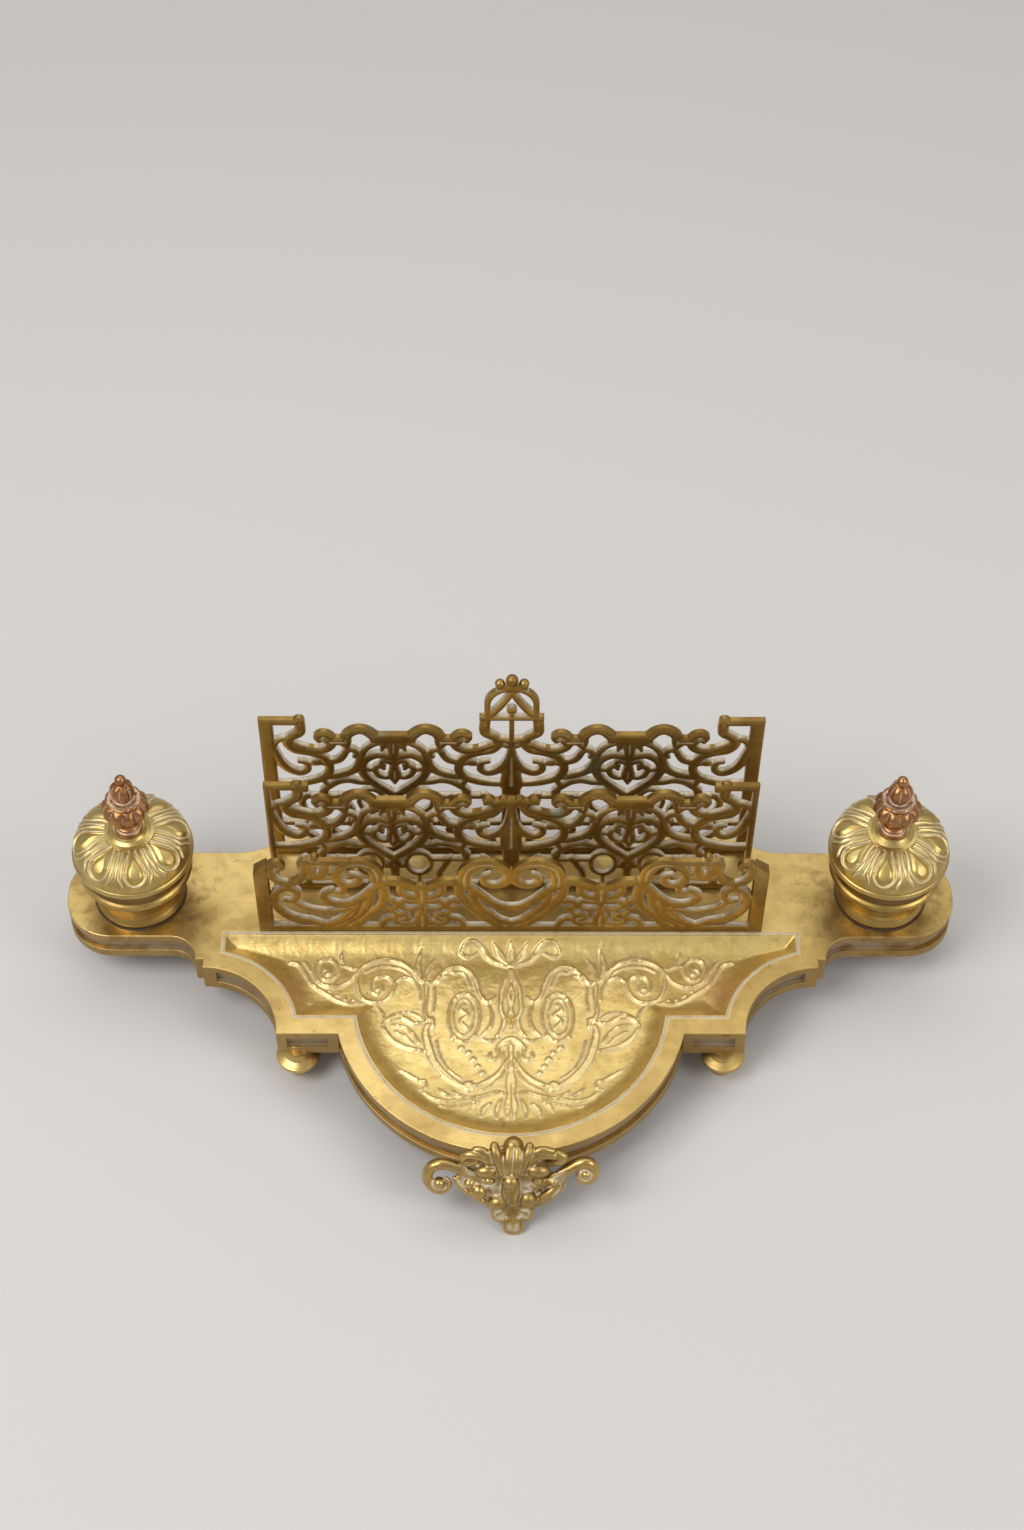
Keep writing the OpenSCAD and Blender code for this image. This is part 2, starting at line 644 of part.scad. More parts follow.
// Half of the front gallery, as strokes [x, z, width] from its middle
gallery_strokes = [
    [[106.6, 47.8, 2], [104.6, 50, 2.4], [106.4, 52.8, 2.8], [109.6, 51.4, 3], [110, 45, 3],
        [107.5, 39.5, 3], [102.5, 37.2, 3], [97.5, 39.5, 3], [95, 45, 3], [94.6, 50, 2.8], [94.2, 54, 2.6]],
    [[95, 53.6, 2.6], [86, 53.6, 2.6], [76, 53.4, 2.8]],
    [[61.5, 40, 4.6], [61.8, 45, 4.8], [64, 50, 4.8], [69, 53, 4.4], [74.5, 52, 4], [79.2, 48, 3.6],
        [80.4, 42, 3.2], [78, 37.4, 3], [73.6, 36, 2.8], [70, 38.6, 2.6], [70.2, 42.6, 2.4], [73.4, 43.8, 2]],
    [[80.2, 41, 2.8], [78.4, 37, 2.6], [77, 33.6, 2.4], [78, 30.6, 2.2], [81, 30.4, 1.8]],
    [[82.6, 31.8, 2.2], [85.6, 30, 2.6], [86.6, 26.4, 3], [84.4, 22.6, 3.2], [79, 20.4, 3.4],
        [73.5, 22, 3.4], [68, 27, 3.4], [63, 33.5, 3.6], [58.5, 37.6, 3.6], [53, 38.2, 3.6],
        [47.5, 35.4, 3.6], [44.5, 33.4, 3.6], [41.5, 32.8, 3.6], [38.5, 33.4, 3.6], [35.5, 35.4, 3.6],
        [30, 38.2, 3.6], [24.5, 37.8, 3.6], [19.5, 34.5, 3.4], [14.5, 28.6, 3.4], [9, 22, 3.4],
        [4, 18.6, 3.4], [-1, 17.6, 3.4]],
    [[104.6, 24, 2], [101.6, 23.4, 2.2], [98.8, 26.4, 2.6], [99, 31, 3], [103, 33.6, 3],
        [107.6, 31.2, 3], [109.6, 25.5, 3], [108.6, 18.4, 3.2], [104.6, 12, 3.6], [99, 8, 4], [92.5, 6.6, 3],
        [87, 4, 2]],
    [[100.6, 23, 2], [96, 18.4, 2], [90, 15.8, 1.8], [83, 15, 1.8], [75, 17.5, 2]],
    [[86, 3.5, 2.6], [79, 8, 3.4], [74, 14, 4.2], [70.6, 21, 2.6], [69.6, 26, 1.8]],
    [[64.5, 32.5, 2.8], [65, 26, 3.2], [67, 19, 3.2], [71, 12, 3], [75.6, 7, 2.2], [79, 3.5, 2.4]],
    [[60, 37, 3], [58.4, 31, 3.6], [59, 24, 3.6], [62, 17.4, 3.6], [66.6, 11.4, 3.4], [73, 3.5, 3.4]],
    [[21.5, 36, 4.6], [21.6, 43, 5], [19.5, 49, 5], [14.5, 52.4, 4.6], [8.5, 52.4, 4.2], [3.8, 49, 3.8],
        [1.4, 43.6, 3.6], [3, 38, 3.4], [7.6, 35.6, 3], [12, 37.6, 2.6], [12.6, 42, 2.4], [9.8, 44.4, 1.8]],
    [[24.6, 37, 3.2], [23.6, 30, 3.8], [21, 23, 3.8], [17, 16, 3.4], [12, 9.5, 3], [5, 3.5, 3]],
    [[17.5, 32, 2.6], [17, 25, 3], [13.5, 17.5, 3], [9.5, 12.6, 3], [5.4, 8, 2.6], [-1, 4.6, 2.6]],
    [[51, 36, 2.6], [51, 31, 2.8], [48.6, 27.6, 2.6], [44.4, 26, 2.6], [41, 26, 2.6]],
    [[41.5, 24, 2.6], [45, 22.6, 2], [49.6, 23.6, 2.2], [51.6, 20, 2.2], [48.4, 17, 2], [43, 17.4, 2]],
    [[32, 36, 2.6], [32, 31, 2.8], [34.4, 27.6, 2.6], [38.6, 26, 2.6], [42, 26, 2.6]],
    [[41.5, 24, 2.6], [38, 22.6, 2], [33.4, 23.6, 2.2], [31.4, 20, 2.2], [34.6, 17, 2], [40, 17.4, 2]],
    [[41.5, 33, 4.6], [41.5, 27, 5], [41.5, 20, 2.2], [41.5, 15, 2.6], [41.5, 10, 5.4], [41.5, 3.5, 4.4]],
    [[58.6, 22.6, 2.2], [55.6, 24, 2.4], [53, 21, 2.4], [55, 17.6, 2.2], [58, 19, 1.8]],
    [[24.4, 22.6, 2.2], [27.4, 24, 2.4], [30, 21, 2.4], [28, 17.6, 2.2], [25, 19, 1.8]],
    [[50.4, 8.4, 2.2], [48.2, 10.4, 2.2], [50, 13, 2.2], [53.4, 11.4, 2.2], [53.6, 7.6, 2.2],
        [50.5, 5, 2.2], [46.4, 5.8, 2.2], [41.5, 5, 2.2]],
    [[32.6, 8.4, 2.2], [34.8, 10.4, 2.2], [33, 13, 2.2], [29.6, 11.4, 2.2], [29.4, 7.6, 2.2],
        [32.5, 5, 2.2], [36.6, 5.8, 2.2], [41.5, 5, 2.2]],
    [[54, 9.5, 2], [58.6, 8.6, 2.2], [61, 3.5, 2.2]],
    [[29, 9.5, 2], [24.4, 8.6, 2.2], [22, 3.5, 2.2]],
    [[56, 17.5, 2], [52.8, 12.4, 2]],
    [[27, 17.5, 2], [30.2, 12.4, 2]],
    [[92.4, 53.5, 2.2], [91.8, 47, 3.4], [88.5, 42.4, 3.2], [85.2, 47, 3.4], [84.6, 53.5, 2.2]],
    [[95.5, 42.4, 2], [88.5, 41.4, 2.4], [80.4, 42.4, 2]],
    [[103, 34, 2.4], [102.5, 36.8, 2.4]],
    [[108.6, 26, 2.6], [112.5, 26, 2.6]],
    [[109.6, 43, 2.6], [112.5, 43, 2.6]]
];

// Width that the gallery strokes were drawn for
gallery_reach = 111.5;

module front_gallery() color(brass) placed() {
    half = gallery_w / 2;
    reach = half - post_w;
    stand_panel(-gallery_y) {
        both_sides() {
            for (s = gallery_strokes)
                stroke(s, reach / gallery_reach);
            dot(89.5, 57, 2);
            bar(88.8, 54, 90.2, 56);
        }
        bar(-half + 1, 0, half - 1, rail_h);
    }
    both_sides() {
        // End post with its slanted top
        translate([half, post_depth - gallery_y, 0])
            rotate([90, 0, 0])
                mirror([1, 0, 0])
                    linear_extrude(post_depth)
                        polygon([[0, 0], [post_w, 0], [post_w, gallery_h + gallery_cant], [0, gallery_h]]);
        translate([inner_pin - 4, -gallery_y, 0])
            cube([8, post_depth, rail_h * 0.8]);
    }
    panel_pins(0);
}

// Lean of the mask: its face runs from the rim of the bow down and forward to the toe
mask_top_z = 1;
toe_r = 4.6;
toe_z = toe_r - 0.6 - base_h;
mask_lean = atan((toe_reach - toe_r - 1) / (mask_top_z - toe_z));
mask_len = (mask_top_z - toe_z) / cos(mask_lean);
mask_face_t = 5;

module on_mask() {
    translate([0, -bow_front - 1, mask_top_z])
        rotate([90 - mask_lean, 0, 0])
            children();
}

module mask_outline() {
    side = [[8, 1.5], [17, 0], [20, -4], [17, -8], [18, -13], [24.5, -17], [22, -22], [14, -25], [9, -28], [3, -36]];
    k = mask_len / 36;
    polygon([
        for (i = [0 : len(side) - 1]) [side[i].x, side[i].y * k],
        for (i = [len(side) - 1 : -1 : 0]) [-side[i].x, side[i].y * k]
    ]);
    both_sides() {
        dot(9, 9 - mask_len, 4);
        dot(5.6, 4.4 - mask_len, 3.8);
    }
}

// Scrolls at the sides of the mask, like rams' horns
horn_spread = 0.96;
horn = [
    [14, -11, 5.6], [20, -8.5, 6], [27, -6.6, 6], [34, -7, 5.6], [38.6, -11.5, 5], [38, -18, 4.6],
    [33, -21.4, 4.2], [28.4, -18.6, 3.6], [29, -14.4, 3], [32.4, -13.6, 2.4]
];

module front_mask() color(brass) placed() difference() {
    union() {
        on_mask() {
            translate([0, 0, -2])
                linear_extrude(mask_face_t)
                    mask_outline();
            both_sides() {
                translate([10.6, -14, 2])
                    sphere(6);
                translate([15, -21.5, 1.6])
                    sphere(4.6);
                translate([6, -27, 2.4])
                    sphere(5);
                translate([2.6, -6, 1.6])
                    rotate([76, 0, -8])
                        cylinder(r1 = 2.2, r2 = 3.2, h = 9);
                translate([0, 0, -1])
                    linear_extrude(mask_face_t)
                        stroke([[3, -12, 2.6], [7, -6, 3.4], [12, -3, 3.6], [17.5, -3.6, 3]]);
            }
            translate([0, -16.5, 3])
                sphere(4.7);
            translate([0, -19, 2])
                rotate([90, 0, 0])
                    cylinder(r1 = 4.6, r2 = 2.6, h = 9);
        }
        translate([0, toe_r - toe_y, toe_z])
            sphere(toe_r);
        translate([0, 1.6 - bow_front, 3.6])
            sphere(4.5);
        both_sides()
            translate([0, 2.5 - bow_front, 0])
                rotate([90, 0, 0])
                    linear_extrude(7)
                        stroke(horn, horn_spread);
        // Web that fills the space between the face and the edge of the base
        translate([-13, 0, 0])
            rotate([90, 0, 90])
                linear_extrude(26)
                    polygon([[6 - bow_front, 0], [-bow_front - 1, 0],
                        [-bow_front - 9, -skirt_h - 3], [-bow_front - 5, -skirt_h - 6],
                        [6 - bow_front, -skirt_h - 1.5]]);
    }
    translate([0, 0, -skirt_h])
        linear_extrude(skirt_h)
            outline();
    for (side = [-1, 1])
        translate([side * mask_screw_x, mask_seat_y, mask_screw_z])
            rotate([90, 0, 0])
                cylinder(r = mask_screw_r + slip, h = wall_in + mask_screw_reach);
    translate([-60, -2 * bow_front, -base_h - 20])
        cube([120, 2 * bow_front, 20]);
}

module mask_screws() color(steel) placed()
    for (side = [-1, 1])
        translate([side * mask_screw_x, mask_seat_y, mask_screw_z])
            rotate([90, 0, 0]) {
                cylinder(r = mask_screw_r, h = wall_in + mask_screw_reach - 1);
                translate([0, 0, -mask_head_t])
                    difference() {
                        cylinder(r = mask_head_r, h = mask_head_t);
                        translate([-mask_head_r - cut, -0.4, -cut])
                            cube([2 * (mask_head_r + cut), 0.8, cut + 0.7]);
                    }
            }

// A turned foot: spigot, neck, round disc, waist and pad
module foot(i) color(brass) placed() translate([foot_places[i].x, foot_places[i].y, -base_h]) {
    top = foot_h;
    r = foot_disc_r;
    rotate_extrude()
        polygon([
            [0, 0], [4.4, 0], [5, 0.5], [5, 1.6], [4.3, 2.8], [4.2, 4.4], [5, top - 12.3], [7, top - 10.5],
            [r - 0.9, top - 8.9], [r - 0.2, top - 7.9], [r, top - 7.1], [r - 0.4, top - 6.3],
            [r - 1.6, top - 5.6], [6.6, top - 4.6], [5.4, top - 3.2], [5.1, top - 1.8], [5.6, top], [0, top]
        ]);
    translate([0, 0, top - cut])
        cylinder(r = spigot_r, h = spigot_h + cut);
}

module at_well(side) {
    placed()
        translate([side * well_x, -well_y, 0])
            children();
}

module well_washer(side) color(leather) at_well(side) difference() {
    cylinder(r = well_foot_r + 0.5, h = washer_t);
    translate([0, 0, -cut])
        cylinder(r = well_foot_r - 7, h = washer_t + 2 * cut);
}

// The cast well: foot ring, waist, bead and neck round a plain bore
seat_z = washer_t + well_h;
pot_top = well_h - 1.4;
counterbore_r = well_bore_r + 2.6;
lug_w = 4;
barrel_w = 5.8;
well_nut_h = 4;
well_nut_across = 11;

module well_profile() {
    f = well_foot_r;
    polygon([
        [0, 0], [f, 0], [f, 1.8], [f - 0.8, 3], [f - 1.6, 4], [f - 1.9, 7], [f - 1.6, 11], [f - 0.6, 15],
        [bead_r - 3.4, 18.4], [bead_r - 1.6, 19.8], [bead_r - 0.6, 20.6], [bead_r, 22], [bead_r - 0.6, 23.4],
        [bead_r - 1.6, 24.2], [neck_r, 25], [neck_r - 0.6, 28], [neck_r, well_h - 1], [neck_r, well_h], [0, well_h]
    ]);
}

module well_body(side) color(brass) at_well(side) {
    translate([0, 0, washer_t]) {
        difference() {
            union() {
                rotate_extrude()
                    well_profile();
                // Lugs that carry the hinge barrels
                for (x = [barrel_w / 2 + 0.2, -barrel_w / 2 - 0.2 - lug_w])
                    translate([x, neck_r - 4, well_h - 4.4])
                        cube([lug_w, hinge_y - neck_r + 4, 4.4]);
                for (x = [barrel_w / 2 + 0.2, -barrel_w / 2 - 0.2 - lug_w])
                    translate([x, hinge_y, well_h + gap])
                        rotate([0, 90, 0])
                            cylinder(r = barrel_r, h = lug_w);
            }
            translate([0, 0, well_floor])
                cylinder(r = well_bore_r, h = well_h);
            translate([0, 0, pot_top - flange_t])
                cylinder(r = counterbore_r, h = well_h);
            translate([-20, hinge_y, well_h + gap])
                rotate([0, 90, 0])
                    cylinder(r = hinge_pin_r + slip, h = 40);
        }
    }
    translate([0, 0, -plate_t - well_nut_h - 1])
        cylinder(r = stud_r, h = plate_t + well_nut_h + 1 + washer_t + well_floor / 2);
}

module ink_pot(side) color(glass) at_well(side) translate([0, 0, washer_t + well_floor]) {
    r = well_bore_r - gap;
    h = pot_top - well_floor;
    rotate_extrude()
        polygon([
            [0, 0], [r - 1, 0], [r, 1], [r, h - flange_t], [counterbore_r - gap, h - flange_t],
            [counterbore_r - gap, h], [r - glass_t, h], [r - glass_t, glass_t + 1.6],
            [r - glass_t - 1.6, glass_t], [0, glass_t]
        ]);
}

module well_nut(side) color(steel) at_well(side)
    translate([0, 0, -plate_t - well_nut_h])
        difference() {
            hex(well_nut_across, well_nut_h);
            translate([0, 0, -cut])
                cylinder(r = stud_r + slip, h = well_nut_h + 2 * cut);
        }

module hinge_pin(side) color(steel) at_well(side)
    translate([-(barrel_w / 2 + 0.2 + lug_w), hinge_y, seat_z + gap])
        rotate([0, 90, 0])
            cylinder(r = hinge_pin_r, h = barrel_w + 0.4 + 2 * lug_w);

// The dome of a lid, from the bead up to the crown; t is the wall taken off for the inside
module dome_profile(t) {
    steps = 10;
    top = dome_h - t;
    polygon(concat(
        [[0, 0], [lid_r - 1 - t, 0], [lid_r - 0.8 - t, 4]],
        [for (i = [1 : steps]) let (a = 90 * i / steps)
            [crown_r - t + (lid_r - 0.8 - crown_r) * cos(a), 4 + (top - 4) * sin(a)]],
        [[0, top]]
    ));
}

module petal() {
    inner = crown_r + 1;
    outer = lid_r - 7.6;
    polygon([[inner, -1.6], [outer - 2, -5.6], [outer - 2, 5.6], [inner, 1.6]]);
    translate([outer - 1.6, 0])
        circle(5.8);
}

module lid(side) color(brass) at_well(side) translate([0, 0, seat_z + gap]) difference() {
    union() {
        rotate_extrude() {
            dome_profile(0);
            polygon([[lid_r - 3, 0], [lid_r - 0.6, 0], [lid_r, 0.8], [lid_r, 2.2], [lid_r - 0.6, 3], [lid_r - 3, 3]]);
        }
        // Raised petals with a narrow dart between each pair
        intersection() {
            translate([0, 0, 0.7])
                rotate_extrude()
                    dome_profile(0);
            translate([0, 0, 4])
                linear_extrude(dome_h)
                    for (i = [0 : petals - 1])
                        rotate([0, 0, 360 * (i + 0.5) / petals]) {
                            petal();
                            rotate([0, 0, 180 / petals])
                                polygon([[crown_r + 1, -0.5], [lid_r - 4, -1.5], [lid_r - 1.4, 0],
                                    [lid_r - 4, 1.5], [crown_r + 1, 0.5]]);
                        }
        }
        translate([-barrel_w / 2, lid_r - 2.4, 0])
            cube([barrel_w, hinge_y - lid_r + 2.4, barrel_r * 0.9]);
        translate([-barrel_w / 2, hinge_y, 0])
            rotate([0, 90, 0])
                cylinder(r = barrel_r, h = barrel_w);
    }
    translate([0, 0, -0.001])
        rotate_extrude()
            dome_profile(lid_wall);
    translate([0, 0, dome_h / 2])
        cylinder(r = bolt_r + slip, h = dome_h);
    translate([-barrel_w, hinge_y, 0])
        rotate([0, 90, 0])
            cylinder(r = hinge_pin_r + slip, h = 2 * barrel_w);
}

// Flared brass collar between dome and finial
bolt_r = 2;
collar_h = 3.6;
finial_nut_h = 2.6;

module lid_collar(side) color(pale_brass) at_well(side) translate([0, 0, seat_z + gap + dome_h])
    rotate_extrude()
        polygon([
            [bolt_r + slip, 0], [crown_r + 0.9, 0], [crown_r + 0.9, 0.7], [crown_r - 0.6, 1], [8.4, 1.8],
            [7.4, 2.8], [7.2, collar_h], [bolt_r + slip, collar_h]
        ]);

// Copper finial: neck rings, fluted bulb, cup of petals, bud and ball
module finial(side) color(copper) at_well(side) translate([0, 0, seat_z + gap + dome_h + collar_h]) {
    h = finial_h;
    lobes = 10;
    rotate_extrude()
        polygon([
            [0, 0], [6.2, 0], [6.2, 1], [5.4, 1.6], [5.8, 2.4], [5.2, 3.2], [4.4, 4.6], [bulb_r * 0.6, 9],
            [bulb_r * 0.86, 12.2], [bulb_r * 0.9, 15.4], [bulb_r * 0.74, 18.6], [6.6, 19.8], [7.8, 21],
            [7.4, 21.8], [4, 22.2], [3.2, 23], [0, 23]
        ]);
    for (i = [0 : lobes - 1])
        rotate([0, 0, 360 * i / lobes])
            translate([bulb_r - 3.5, 0, 14.6])
                sphere(3.5);
    for (i = [0 : 5])
        rotate([0, 0, 60 * i + 30])
            translate([2.6, 0, 26.4])
                sphere(2.8);
    translate([0, 0, 21.6])
        cylinder(r1 = 4.4, r2 = 1.9, h = h - 25.6);
    translate([0, 0, h - ball_r])
        sphere(ball_r);
    translate([0, 0, -collar_h - lid_wall - finial_nut_h - 0.8])
        cylinder(r = bolt_r, h = collar_h + lid_wall + finial_nut_h + 0.8 + cut);
}

module finial_nut(side) color(steel) at_well(side)
    translate([0, 0, seat_z + gap + dome_h - lid_wall - finial_nut_h])
        difference() {
            hex(7, finial_nut_h);
            translate([0, 0, -cut])
                cylinder(r = bolt_r + slip, h = finial_nut_h + 2 * cut);
        }

base_tray();
front_gallery();
middle_panel();
back_panel();
front_mask();
mask_screws();
foot(0);  // foot_front_left
foot(1);  // foot_front_right
foot(2);  // foot_rear_left
foot(3);  // foot_rear_right
rack_nuts();
well_washer(-1);  // well_washer_left
well_washer(1);  // well_washer_right
well_body(-1);  // well_body_left
well_body(1);  // well_body_right
ink_pot(-1);  // ink_pot_left
ink_pot(1);  // ink_pot_right
well_nut(-1);  // well_nut_left
well_nut(1);  // well_nut_right
hinge_pin(-1);  // hinge_pin_left
hinge_pin(1);  // hinge_pin_right
lid(-1);  // lid_left
lid(1);  // lid_right
lid_collar(-1);  // lid_collar_left
lid_collar(1);  // lid_collar_right
finial(-1);  // finial_left
finial(1);  // finial_right
finial_nut(-1);  // finial_nut_left
finial_nut(1);  // finial_nut_right
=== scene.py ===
import math
import bmesh
import bpy
import numpy as np
from mathutils import Matrix, Vector


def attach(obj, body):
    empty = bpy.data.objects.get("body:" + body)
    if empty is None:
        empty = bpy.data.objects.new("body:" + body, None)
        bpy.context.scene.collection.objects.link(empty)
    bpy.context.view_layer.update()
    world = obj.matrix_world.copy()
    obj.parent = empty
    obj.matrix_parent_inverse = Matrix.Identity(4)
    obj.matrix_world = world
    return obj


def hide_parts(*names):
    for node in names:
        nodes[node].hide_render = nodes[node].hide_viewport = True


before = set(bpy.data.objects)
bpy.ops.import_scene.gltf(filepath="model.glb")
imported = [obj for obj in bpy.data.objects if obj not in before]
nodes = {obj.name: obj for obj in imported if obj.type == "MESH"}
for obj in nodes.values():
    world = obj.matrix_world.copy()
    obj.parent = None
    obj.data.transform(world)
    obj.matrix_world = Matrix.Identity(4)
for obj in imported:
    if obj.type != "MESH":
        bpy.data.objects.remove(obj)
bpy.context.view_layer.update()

# Shapes are drawn in millimetres from the back edge of the arms and the top of the base, then placed
place = {"back": 88.1, "top": 35.0, "wellX": 175.6, "wellY": -23.5, "lidSeat": 34.0, "washer": 0.8}
stand, lidBody = "stand", {"left": "lid_left_body", "right": "lid_right_body"}


# Shared tools: new objects, smooth paths and the depth of a spot inside a drawn stroke

def placePiece(bm, name, body, replaced=(), sharpAngle=0.9, recalc=True):
    if recalc:
        bmesh.ops.recalc_face_normals(bm, faces=bm.faces[:])
    bmesh.ops.transform(bm, matrix=Matrix.Scale(0.001, 4) @ Matrix.Translation((0, place["back"], place["top"])),
                        verts=bm.verts[:])
    for edge in bm.edges:
        if len(edge.link_faces) == 2 and edge.calc_face_angle(0) > sharpAngle:
            edge.smooth = False
    for face in bm.faces:
        face.smooth = True
    mesh = bpy.data.meshes.new(name)
    bm.to_mesh(mesh)
    bm.free()
    piece = bpy.data.objects.new(name, mesh)
    bpy.context.scene.collection.objects.link(piece)
    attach(piece, body)
    if replaced:
        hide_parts(*replaced)
    return piece


def getCoords(bm):
    return np.array([v.co[:] for v in bm.verts], float).reshape(-1, 3)


def setCoords(bm, coords):
    for v, co in zip(bm.verts, coords):
        v.co = co


def setMask(bm, name, values):
    layer = bm.verts.layers.float.get(name) or bm.verts.layers.float.new(name)
    for v, value in zip(bm.verts, values):
        v[layer] = float(value)


def ease(a, b, x):
    t = np.clip((x - a) / (b - a), 0, 1)
    return t * t * (3 - 2 * t)


def smoothPath(points, steps=4):
    p = np.array(points, float)
    out = []
    for i in range(len(p) - 1):
        a, b, c, d = p[max(i - 1, 0)], p[i], p[i + 1], p[min(i + 2, len(p) - 1)]
        for k in range(steps):
            t = k / steps
            out.append(0.5 * (2 * b + (c - a) * t + (2 * a - 5 * b + 4 * c - d) * t * t
                              + (3 * b - a - 3 * c + d) * t ** 3))
    return np.array(out + [p[-1]])


class Drawing:
    # How deep each spot lies inside the strokes, bars and dots drawn so far, and which kind holds it
    def __init__(self, count, weight=1.0):
        self.weight = weight
        self.depth = np.full(count, -9.0)
        self.share = np.zeros(count)
        self.width = np.zeros(count)
        self.plain = np.zeros(count)

    def keep(self, near, inside, share, plain):
        # width: half the width of the stroke that holds the spot
        better = inside > self.depth[near]
        won = near[better]
        self.depth[won] = inside[better]
        self.share[won] = share[better]
        self.width[won] = inside[better] / np.where(np.abs(share[better]) < 1e-6, 1e-6, share[better])
        self.plain[won] = plain

    def stroke(self, spots, path, plain=0.0, weight=None):
        weight = weight or self.weight
        reach = max(3.5, path[:, 2].max() * weight / 2 + 1.5)
        lo, hi = path[:, :2].min(0) - reach, path[:, :2].max(0) + reach
        near = np.where(((spots > lo) & (spots < hi)).all(1))[0]
        if not len(near):
            return
        q = spots[near]
        best, part = np.full(len(q), -9.0), np.zeros(len(q))
        for a, b in zip(path[:-1], path[1:]):
            along = b[:2] - a[:2]
            t = np.clip(((q - a[:2]) @ along) / max(along @ along, 1e-9), 0, 1)
            away = q - a[:2] - t[:, None] * along
            half = np.maximum((a[2] + (b[2] - a[2]) * t) * weight / 2, 0.05)
            inside = half - np.hypot(away[:, 0], away[:, 1])
            better = inside > best
            best[better] = inside[better]
            part[better] = (inside / half)[better]
        self.keep(near, best, part, plain)

    def bar(self, spots, x0, z0, x1, z1):
        inside = np.minimum(np.minimum(spots[:, 0] - x0, x1 - spots[:, 0]),
                            np.minimum(spots[:, 1] - z0, z1 - spots[:, 1]))
        self.keep(np.arange(len(spots)), inside, inside / (min(x1 - x0, z1 - z0) / 2), 1.0)

    def dot(self, spots, x, z, r):
        inside = r - np.hypot(spots[:, 0] - x, spots[:, 1] - z)
        self.keep(np.arange(len(spots)), inside, inside / r, 0.0)

    def ring(self, spots, x, z, a, b, w):
        turn = np.linspace(0, 2 * math.pi, 29)
        self.stroke(spots, np.stack([x + a * np.cos(turn), z + b * np.sin(turn), np.full(29, w)], 1), weight=1.0)


# Pierced panels

bayStrokes = [smoothPath(s) for s in [
    [[42, -1, 3.8], [42, -9, 3.8], [46.5, -13, 3.4], [48, -17, 3.6], [45, -22, 3.4], [39, -24, 3.2],
     [33, -27, 3.2], [30, -33, 3.2], [30, -38, 3.2], [33, -43, 3], [39, -46, 3], [46, -47.5, 2.6], [54.5, -47.5, 2.2]],
    [[55, -21, 2.2], [53, -16, 2.2], [49.5, -14, 2], [46.5, -15, 2]],
    [[54.5, -22, 3], [52, -31, 3.2], [48.5, -36.5, 3.2], [43.5, -39.2, 3], [39.8, -36.5, 2.6], [40.3, -32, 2.2],
     [43.4, -30.8, 1.6]],
    [[45, -18, 2.4], [41, -20.5, 2.6], [36, -22.3, 3], [31, -21.8, 3.2], [28, -18, 3.2], [28.2, -13, 3],
     [31.5, -10.4, 2.8], [34.6, -12.5, 2.4], [33.6, -15.6, 2]],
    [[29, -15.5, 4.2], [21.5, -15.5, 4.2]],
    [[21.8, -17.5, 4], [21, -12, 3.8], [18.5, -9, 3.8], [15, -7.6, 3.8], [11.5, -9, 3.8], [8.6, -12.4, 4]],
    [[23.5, -16.5, 2], [20.2, -21.8, 2]],
    [[3, -15, 2.4], [9, -18, 2.4], [13, -22, 2.4], [14.8, -27, 2.4], [16, -31, 2.6]],
    [[-0.8, -29.2, 2.8], [4, -26.4, 2.8], [9, -26.5, 3], [13.5, -30.5, 3], [15, -37, 3.2], [12.5, -43.5, 3.2],
     [7, -50, 3], [-0.6, -57.4, 3]],
    [[3.6, -15, 2.8], [4.4, -18.5, 2.6], [5.4, -22.4, 1]],
    [[0.5, -33, 1.8], [2.4, -31.2, 1.8], [4.8, -30.1, 1.6], [6, -32, 1.5], [4.4, -33.6, 1.4]],
    [[0.5, -41, 2], [4, -42.8, 2], [7.5, -41, 2.2], [9, -36.5, 2.2], [6.8, -33.8, 2], [4.8, -36, 1.6]],
    [[8.8, -37.5, 2], [14.5, -35.5, 2]],
    [[31, -31.4, 3], [25.5, -29.8, 2.8], [22.8, -26, 2.6], [21.5, -23, 2.4], [18.6, -22, 2.2], [16.6, -24.6, 2],
     [18, -27, 1.6]],
    [[15, -28, 3.2], [16.5, -34, 3.4], [20, -38.5, 3], [26, -41.2, 2.8], [32, -42.5, 2.6]],
    [[34, -53.5, 2.2], [30.5, -49.5, 2.6], [26, -46, 2.6], [21, -45, 2.6], [16.5, -46.4, 2.4], [10.5, -46.6, 2.4]],
    [[33.5, -43.4, 2], [31, -49, 2]],
    [[36, -31.5, 3.4], [33.5, -32, 1.8], [30.5, -33, 2]],
    [[0, -14, 2.6], [0, -20, 4.4], [0, -29.8, 2.2]],
    [[0, -28, 2.2], [0, -36, 3.4], [0, -41, 4.8], [0, -47, 1]],
    [[0, -56, 3.2], [0, -60, 3.6], [0, -61, 6]],
]]

